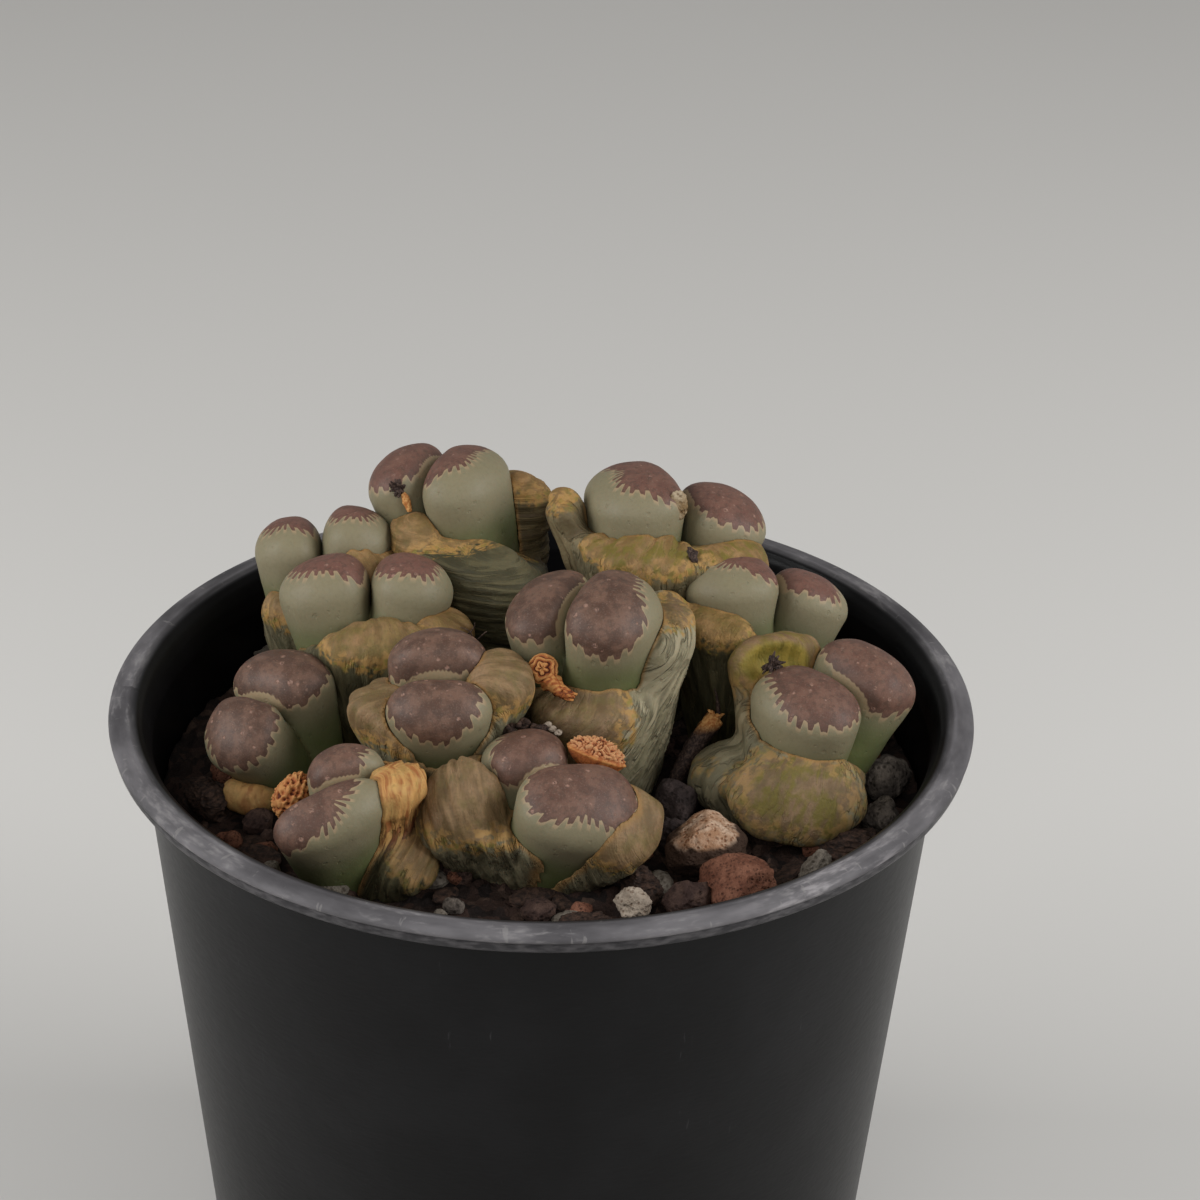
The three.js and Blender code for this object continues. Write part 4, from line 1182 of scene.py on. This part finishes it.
def make_rocks(finishes):
    """The larger stones and pieces of bark. Lava and pumice have deep pits, and they and the pale stones
    few planes with sharp edges."""
    for seed, (name, (at, half, turn, tilt, kind)) in enumerate(STONES.items()):
        pits = 0.5 if kind in ("pumice", "lava") else 0.12
        planes, power = (9, 26) if kind in ("pumice", "pale", "lava") else (12, 14)
        skin = stone_skin(at, half, turn, tilt, seed + 31, 90, 60, planes, power, grain=0.3, pits=pits)
        finish_piece(build("rock_" + name, *skin), *finishes[kind], "stone_" + name)
    for seed, (name, (at, half, turn, tilt)) in enumerate(BARKS.items()):
        skin = stone_skin(at, half, turn, tilt, seed + 61, 90, 50, grain=0.3, grooves=0.5)
        finish_piece(build("chip_" + name, *skin), *finishes["bark"], "bark_" + name)


def inner_radius(z):
    """The inside of the pot's wall at a height."""
    return BASE_RADIUS + WALL_SLOPE * z - WALL


def soil_height(x, y):
    """The top of the mix: uneven ground with rounded grains of two sizes."""
    spot = stack(x, y, 0.0)
    ground = 1.2 * noise(spot, 14, 5) + 0.6 * noise(spot, 5, 6)
    large, which = cells(spot, 3.6, 7)
    small, _ = cells(spot, 1.7, 11)
    grains = 1.5 * which * (1 - smooth(large, 0.1, 0.62)) + 0.7 * (1 - smooth(small, 0.1, 0.6))
    return SOIL_LEVEL + ground * 0.7 + grains - 0.6 + 0.25 * noise(spot, 0.9, 13)


def make_soil(finish):
    """The mix: a round body with a rough top, straight down the pot's wall and flat below."""
    rings = 130
    t = circle(300)
    far = (np.arange(1, rings + 1) / rings)[:, None] * (inner_radius(SOIL_LEVEL) - SOIL_GAP)
    x, y = far * np.cos(t), far * np.sin(t)
    level = np.array([SOIL_LEVEL - 2, 60, 30, SOIL_BOTTOM])[:, None]
    radius = inner_radius(level) - SOIL_GAP
    side = stack(radius * np.cos(t), radius * np.sin(t), level)
    rows = np.concatenate([stack(x, y, soil_height(x, y)), side])
    middle = np.array([0, 0, soil_height(0.0, 0.0)])
    finish_piece(build("potting_mix", *closed_skin(rows, middle, np.array([0, 0, SOIL_BOTTOM]))), finish,
                 "potting_mix", "soil")


def make_grit(finishes):
    """Loose grit on the mix: small broken stones and bark chips, kept off the heads and the larger stones."""
    random = np.random.default_rng(21)
    taken = [(np.array(head["root"]), head["bulb"] + 0.5) for head in HEADS.values()]
    taken += [(np.array(stone[0][:2]), max(stone[1]) * 0.8) for stone in STONES.values()]
    skins = {kind: [] for kind in GRIT_SHARES}
    for number in range(GRIT_TRIES):
        kind = random.choice(list(GRIT_SHARES), p=list(GRIT_SHARES.values()))
        size = random.uniform(*(SMALL_GRIT if random.random() < SMALL_SHARE else LARGE_GRIT))
        far = (inner_radius(SOIL_LEVEL) - size - 0.8) * math.sqrt(random.random())
        turn = random.uniform(0, TURN)
        spot = far * np.array([math.cos(turn), math.sin(turn)])
        half = size * random.uniform((0.7, 0.7, 0.5), (1.0, 1.0, 0.8))
        tilt, spin = random.uniform(-25, 25), random.uniform(0, 360)
        if any(np.linalg.norm(spot - place) < reach for place, reach in taken):
            continue
        if kind == "bark":
            half = half * (1.5, 0.9, 0.4)
        at = np.array([*spot, soil_height(*spot) + half[2] * 0.35])
        skins[kind].append(stone_skin(at, half, spin, tilt, number + 100, 12, 8, planes=10, power=24))
    for kind in GRIT_SHARES:
        finish_piece(build("grit_" + kind, *several(skins[kind]), flat=True), *finishes[kind])


# The pot

# The rim flange's outline with its fine steps, from under its foot round to the inside, from the rim's edge
# and top
RIM_OUTLINE = [
    (-4, -3.25), (-3, -3.1), (-1, -3.1), (-0.58, -3), (-0.4, -2.7), (-0.38, -1.8), (-0.5, -1.64),
    (-0.48, -1.54), (-0.1, -1.38), (0, -1.1), (-0.08, -0.75), (-0.4, -0.38), (-0.9, -0.14), (-1.4, -0.03),
    (-2, 0), (-2.25, -0.07), (-2.45, -0.04), (-2.7, -0.02), (-2.95, -0.1), (-3.1, -0.26), (-3.3, -0.28),
    (-3.6, -0.3), (-3.95, -0.5), (-4.1, -0.8), (-4.45, -1), (-4.8, -1.6), (-5.1, -2.2), (-5.28, -2.7),
]


def pot_profile():
    """The pot's outline, out and back in: foot, wall, rounded rim flange with fine steps, inner wall and
    floor."""
    foot = BASE_RADIUS - FOOT_WIDTH
    outline = [(foot, 0), (BASE_RADIUS - 0.5, 0), (BASE_RADIUS - 0.12, 0.12)]
    outline += [(inner_radius(z) + WALL, z) for z in (0.6, *np.linspace(6, 100, 14), 101.3)]
    outline += [(RIM_RADIUS + out, POT_HEIGHT + up) for out, up in RIM_OUTLINE]
    outline += [(inner_radius(z), z) for z in (101.8, 99.9)]
    outline += [(inner_radius(99.4) - 0.12, 99.5)]
    outline += [(inner_radius(z), z) for z in (99.1, *np.linspace(92, 8, 10), 5.2)]
    outline += [(inner_radius(4.6) - 0.4, 4.5), (inner_radius(FLOOR) - 1.2, FLOOR), (20, FLOOR), (0, FLOOR)]
    outline += [(0, BASE_LIFT), (20, BASE_LIFT), (foot - 0.4, BASE_LIFT), (foot, BASE_LIFT - 0.4)]
    return np.array(outline, float)


def make_pot(finish):
    """The pot: its outline carried once round from the middle of its foot to the middle of its floor, and
    eight drain holes cut through."""
    outline = pot_profile()
    t = circle(POT_SIDES)
    rows = stack(outline[:, :1] * np.cos(t), outline[:, :1] * np.sin(t), outline[:, 1:])
    under = int(np.nonzero(outline[:, 0] == 0)[0][1])
    rows = np.roll(rows, -under, axis=0)
    piece = build("pot_shell", *closed_skin(rows[1:-1], rows[0, 0], rows[-1, 0]))
    t = circle(40)
    ring = DRAIN_RADIUS * stack(np.cos(t), np.sin(t), 0)
    drills = []
    for angle in TURN * (np.arange(DRAIN_HOLES) + 0.5) / DRAIN_HOLES:
        middle = DRAIN_CIRCLE * np.array([math.cos(angle), math.sin(angle), 0])
        low, high = middle + (0, 0, 1), middle + (0, 0, 6)
        drills.append(closed_skin(np.stack([ring + low, ring + high]), low, high))
    combine(piece, build("drills", *several(drills)), "DIFFERENCE")
    finish_piece(piece, finish, "pot_plastic", "pot")


# Dried flowers and seed cups

# Seed cups and dried flowers: middle, half-sizes, and the way that each faces
SEED_CUPS = {
    "seed_cup_left": ((-33.4, -22.8, 100.8), (2.4, 2.3, 4.5), (0.5, 0.12, 0.82)),
    "seed_cup_centre": ((0.2, -7, 113.1), (2.2, 2.2, 1.5), (-0.1, -0.85, 0.55)),
    "seed_cup_front": ((7.6, -19.4, 106.7), (4.1, 2.3, 2.6), (0.34, 0.3, 0.88)),
}
DRIED_FLOWERS = {
    "dried_flower_right": ((31.6, -2, 111.8), (1.9, 1.6, 1.6), (0, -0.7, 0.7)),
    "dried_flower_back": ((-21.4, 27.2, 123), (1.9, 1.5, 1.7), (-0.3, -0.8, 0.6)),
}

# Small things: the threads of a flower, the torn tail of the centre cup, the back flower's orange strand,
# where the crumbs lie and how many, the white grains from there, the torn scrap, the stub under it, the
# hairs, and the stalk
THREADS = 26
CUP_TAIL = [(0.9, -8, 112), (2.8, -9.5, 111), (4.6, -10.4, 110.7)]
ORANGE_STRAND = [(-20.9, 27.1, 122.3), (-20.3, 26.7, 121.2), (-19.9, 26.2, 119.9)]
CRUMBS = np.array([-2.0, -13.6, 107.7])
CRUMB_COUNT = 22
WHITE_GRAINS = [(3.6, 0.2, -0.3), (4.4, 0.4, -1.0), (3.0, 0.9, -0.1)]
SCRAP = (18.6, 21.6, 124.2)
STUB = [(20.2, 17, 119.7), (20.6, 15.9, 119), (21.4, 15.1, 118.1)]
HAIRS = [((-10.8, -4.5, 116.5), (-9.2, -6.4, 119.8)), ((-9.6, -4.8, 116.2), (-11.2, -6.2, 118.9)),
         ((-9, -4.6, 116), (-7.6, -6.6, 118.4))]
DRIED_STALK = [(18.4, -3.6, 92.6), (20.8, -2.2, 97.5), (24.2, 0.4, 101.6)]


def pitted(way, spot, seed):
    """The left cup: an oval of close pits, narrower at its lower end. Gives its reach, how high each point
    stands between pits and ridges, and how pale it is."""
    hollow, _ = cells(spot, 0.66, seed)
    ridge = smooth(hollow, 0.22, 0.66)
    crumple = creases(spot, 0.8, seed + 1)
    narrow = 1 - 0.42 * smooth(way[:, 2], 0.2, -1.0)
    return narrow * (0.84 + 0.15 * ridge + 0.1 * crumple), 0.66 * ridge + 0.34 * crumple, 0.1


def rosette(way, spot, seed):
    """The centre cup: rings of small petals round its middle."""
    t = np.arctan2(way[:, 1], way[:, 0])
    out = np.arccos(np.clip(way[:, 2], -1, 1)) / (math.pi / 2)
    petals = 2.9 * out + 0.2 * np.sin(5 * t + 3 * out) + 0.35 * noise(spot, 1.1, seed)
    wave = np.abs(np.sin(math.pi * petals))
    return 0.86 + 0.26 * (wave - 0.5) * smooth(out, 1.5, 0.9), 1.05 * wave ** 1.3, 0.05


def frilled(way, spot, seed):
    """The front cup: a wedge with a smooth lower wall under a lip, and a torn, grainy, paler top."""
    x, y, z = way.T
    top = smooth(z, 0.1, 0.35)
    lip = np.exp(-((z - 0.08) / 0.1) ** 2)
    frill = creases(spot, 0.7, seed) * 0.6 + 0.4 * creases(spot, 0.35, seed + 2)
    flare = (0.74 + 0.22 * smooth(z, -0.9, 0.15)
             + 0.04 * np.cos(9 * np.arctan2(y, x) + 2 * noise(spot, 1.5, seed)))
    wall = 0.42 + 0.3 * noise(spot, (0.6, 0.6, 2.4), seed + 3)
    return (flare * (1 + 0.26 * top * (frill - 0.5) + 0.07 * lip),
            top * (1.35 * frill - 0.12) + (1 - top) * wall + 0.35 * lip, 0.45 * top)


def strand_skin(path, radii, around, seed, wobble):
    """A tapering strand along a smooth path: a ring of points at each step, uneven by noise."""
    path = np.array(path, float)
    knots = np.linspace(0, 1, len(path))
    steps = np.linspace(0, 1, 4 * len(path) + 6)
    centre = stack(*(np.polyval(np.polyfit(knots, path[:, axis], 2), steps) for axis in range(3)))
    tangent = unit(np.gradient(centre, axis=0))
    side = unit(np.cross(tangent, np.array([0.31, 0.87, 0.38])))
    other = np.cross(tangent, side)
    t = circle(around)
    radius = np.interp(steps, knots, radii)
    ring = side[:, None] * np.cos(t)[:, None] + other[:, None] * np.sin(t)[:, None]
    spread = radius[:, None] * (1 + wobble * noise(centre[:, None] + ring * 3, 0.8, seed))
    return closed_skin(centre[:, None] + ring * spread[..., None], centre[0] - tangent[0] * radii[0] * 0.4,
                       centre[-1] + tangent[-1] * radii[-1] * 0.4)


def husk_piece(name, parts, finish, slot, *nodes):
    """A dried piece of several skins, each with how high or orange its points are, and how pale: one
    number, or one for each of its points."""
    skins, levels, pales = zip(*parts)
    piece = build(name, *several(skins))
    attach(piece, "husk_map", *(
        np.concatenate([np.broadcast_to(value, len(skin[0])) for skin, value in zip(skins, values)])
        for values in (levels, pales)), 0)
    finish_piece(piece, finish, slot, *nodes)


def make_cup(name, at, half, facing, shape, finish, seed):
    """A dried seed cup: a ball of its half-sizes, reshaped along each direction, with a torn tail at the
    centre."""
    way, quads, tris = unit_ball(120, 84)
    spot = way * np.array(half, float)
    reach, ridge, pale = shape(way, spot, seed)
    parts = [((aimed(spot * reach[:, None], facing) + at, quads, tris), ridge, pale)]
    if name == "seed_cup_centre":
        for number, shift in enumerate(((0, 0, 0), (0.3, 0.1, 0.4), (-0.2, -0.1, -0.4))):
            radii = (1.3 - 0.4 * number, 0.8 - 0.2 * number, 0.16)
            tail = strand_skin(np.array(CUP_TAIL) + shift, radii, 14, seed + number, 0.6)
            parts.append((tail, 0.15 + 0.9 * creases(tail[0], 0.6, seed), 0))
    husk_piece(name + "_husk", parts, finish, "dried_cup", name)


def make_flower(name, at, half, facing, finish, seed):
    """A withered flower: thin curled threads from one knot, the petals that are left."""
    random = np.random.default_rng(seed)
    half = np.array(half, float)
    parts = []
    for _ in range(THREADS):
        way = unit(random.normal(size=3) + (0, 0, 0.5))
        curl = unit(random.normal(size=3))
        path = np.array([(0, 0, -0.2) * half, way * half * 0.55 + curl * 0.25, way * half * 0.8 + curl * 0.6])
        parts.append((strand_skin(aimed(path, facing) + at, (0.34, 0.26, 0.1), 7, seed, 0.4), 0, 0))
    if name == "dried_flower_back":
        parts.append((strand_skin(ORANGE_STRAND, (0.4, 0.6, 0.35), 12, seed, 0.3), 1, 0))
    husk_piece(name + "_threads", parts, finish, "dried_dark", name)


def make_stalk(finish):
    """The dried stalk that leans on the right head: a ragged tube with a torn orange end and a thin dark
    spike."""
    tip = np.array(DRIED_STALK[-1])
    tube = strand_skin(DRIED_STALK, (0.9, 1.2, 1.35), 24, 5, 0.3)
    parts = [(tube, smooth(tube[0][:, 2], 100.2, 101.8), 0)]
    for way in ((-0.9, 0.1, 1.4), (0.5, -0.6, 1.0), (1.1, 0.4, 0.5)):
        path = (tip, tip + np.array(way) * 0.6, tip + np.array(way) * (1.2, 1.2, 0.9))
        parts.append((strand_skin(path, (0.55, 0.35, 0.08), 8, 6, 0.4), 1, 0))
    spike = (tip + (0.4, 0.3, 0), tip + (0.3, 0.5, 2.2), tip + (-0.2, 0.8, 4.3))
    parts.append((strand_skin(spike, (0.38, 0.28, 0.1), 8, 7, 0.3), 0, 0))
    husk_piece("dried_stalk_body", parts, finish, "dried_dark", "dried_stalk")


def make_bits(finishes, withered):
    """Small things on the heads: dark crumbs and white grains behind the front head, a torn scrap of pale
    skin between the back right leaves, a dry stub under it, and thin hairs behind the middle left head."""
    random = np.random.default_rng(4)
    crumbs = []
    for number in range(CRUMB_COUNT):
        along, away, up = random.uniform(-1, 1, 3)
        at = CRUMBS + np.array([3.0 * along, 0.9 * away, 0.5 * up - 0.6 * along ** 2])
        size = random.uniform(0.35, 0.75, 3)
        crumbs.append(stone_skin(at, size, 90 * along, 60 * away, number, 12, 8, power=14))
    grains = [stone_skin(CRUMBS + np.array(shift), (0.6, 0.4, 0.45), 30, 20, 5, 20, 12, 8, 20)
              for shift in WHITE_GRAINS]
    scrap = stone_skin(np.array(SCRAP), (1.2, 0.45, 2.0), 12, -12, 9, 40, 28, 8, 20, grain=0.15)
    finish_piece(build("crumbs", *several(crumbs)), *finishes["bark"])
    finish_piece(build("white_grains", *several(grains)), *finishes["white"])
    finish_piece(build("torn_scrap", *scrap), *finishes["torn"])
    strands = [(strand_skin(STUB, (0.35, 0.7, 0.45), 14, 3, 0.9), 0, 0)]
    for number, (foot, tip) in enumerate(HAIRS):
        bend = (np.array(foot) + tip) / 2 + (0.5, 0, 0.3 * number)
        strands.append((strand_skin((foot, bend, tip), (0.11, 0.09, 0.04), 5, number, 0.2), 0, 0))
    husk_piece("withered_bits", strands, withered, "dried_dark")


# Studio

# Each soft light: where it stands and how wide it is, in metres, and its power
LIGHTS = {
    "side_left": ((-0.75, -0.2, 0.48), 0.6, 6.0),
    "side_right": ((0.75, -0.2, 0.55), 0.6, 7.0),
    "front": ((-0.1, -0.9, 0.7), 0.6, 2.2),
}
LIGHT_AIM = (0, 0, 0.1)
ROOM_TONE = (1.0, 0.985, 0.96, 1.0)
ROOM_STRENGTH = 0.26
FLOOR_HALF = 2.0


def make_camera():
    """The camera: at its distance and height, looking down at its target, and rolled slightly."""
    e, r = CAMERA_ELEVATION, CAMERA_ROLL
    forward = Vector((0, math.cos(e), -math.sin(e)))
    right = Vector((1, 0, 0))
    up = right.cross(forward)
    across = right * math.cos(r) + up * math.sin(r)
    above = up * math.cos(r) - right * math.sin(r)
    data = bpy.data.cameras.new("camera")
    data.lens, data.sensor_width = CAMERA_LENS, SENSOR_WIDTH
    camera = add_object("camera", data)
    turn = Matrix((across, above, -forward)).transposed()
    camera.matrix_world = Matrix.Translation(
        (Vector(CAMERA_TARGET) - forward * CAMERA_DISTANCE) * MM) @ turn.to_4x4()
    bpy.context.scene.camera = camera


def soft_light(name, place, size, power):
    """A square light, turned towards the heads."""
    data = bpy.data.lights.new(name, "AREA")
    data.shape, data.size, data.energy = "SQUARE", size, power
    aim = Vector(LIGHT_AIM) - Vector(place)
    turn = aim.to_track_quat("-Z", "Y").to_matrix()
    add_object(name, data).matrix_world = Matrix.Translation(place) @ turn.to_4x4()


def make_studio():
    """A plain pale floor, two large soft lights at the sides, a weak one in front, and a pale room."""
    h = FLOOR_HALF
    mesh = bpy.data.meshes.new("floor")
    mesh.from_pydata([(-h, -h, 0), (h, -h, 0), (h, h, 0), (-h, h, 0)], [], [(0, 1, 2, 3)])
    f = Finish("pale_floor", roughness=0.8)
    mesh.materials.append(f.done(f.mix(f.noise(400.0), (0.6, 0.59, 0.57), (0.63, 0.62, 0.6))))
    add_object("floor", mesh)
    for name, light in LIGHTS.items():
        soft_light(name, *light)
    world = bpy.data.worlds.new("room")
    world.use_nodes = True
    background = world.node_tree.nodes["Background"]
    background.inputs["Color"].default_value = ROOM_TONE
    background.inputs["Strength"].default_value = ROOM_STRENGTH
    bpy.context.scene.world = world
    bpy.context.scene.view_settings.view_transform = "Standard"


def make_plant():
    """Every piece of the plant and its pot."""
    make_pot(pot_finish())
    make_soil(mix_finish())
    finishes = {
        kind: (stone_finish(name, *tones), slot) for kind, (name, slot, *tones) in STONE_KINDS.items()}
    finishes["bark"] = (bark_finish(), "bark")
    make_rocks(finishes)
    make_grit(finishes)
    new_skin, old_skin = new_leaf_finish(), old_leaf_finish()
    for seed, (name, head) in enumerate(HEADS.items()):
        make_new_pair(name, head, new_skin, 3 * seed + 1)
        make_old_pair(name, head, old_skin, 5 * seed + 2)
    husk, withered = husk_finish(), withered_finish()
    shapes = (pitted, rosette, frilled)
    for seed, ((name, cup), shape) in enumerate(zip(SEED_CUPS.items(), shapes)):
        make_cup(name, *cup, shape, husk, seed + 3)
    for seed, (name, flower) in enumerate(DRIED_FLOWERS.items()):
        make_flower(name, *flower, withered, seed + 8)
    make_stalk(withered)
    make_bits(finishes, withered)


make_camera()
make_studio()
make_plant()
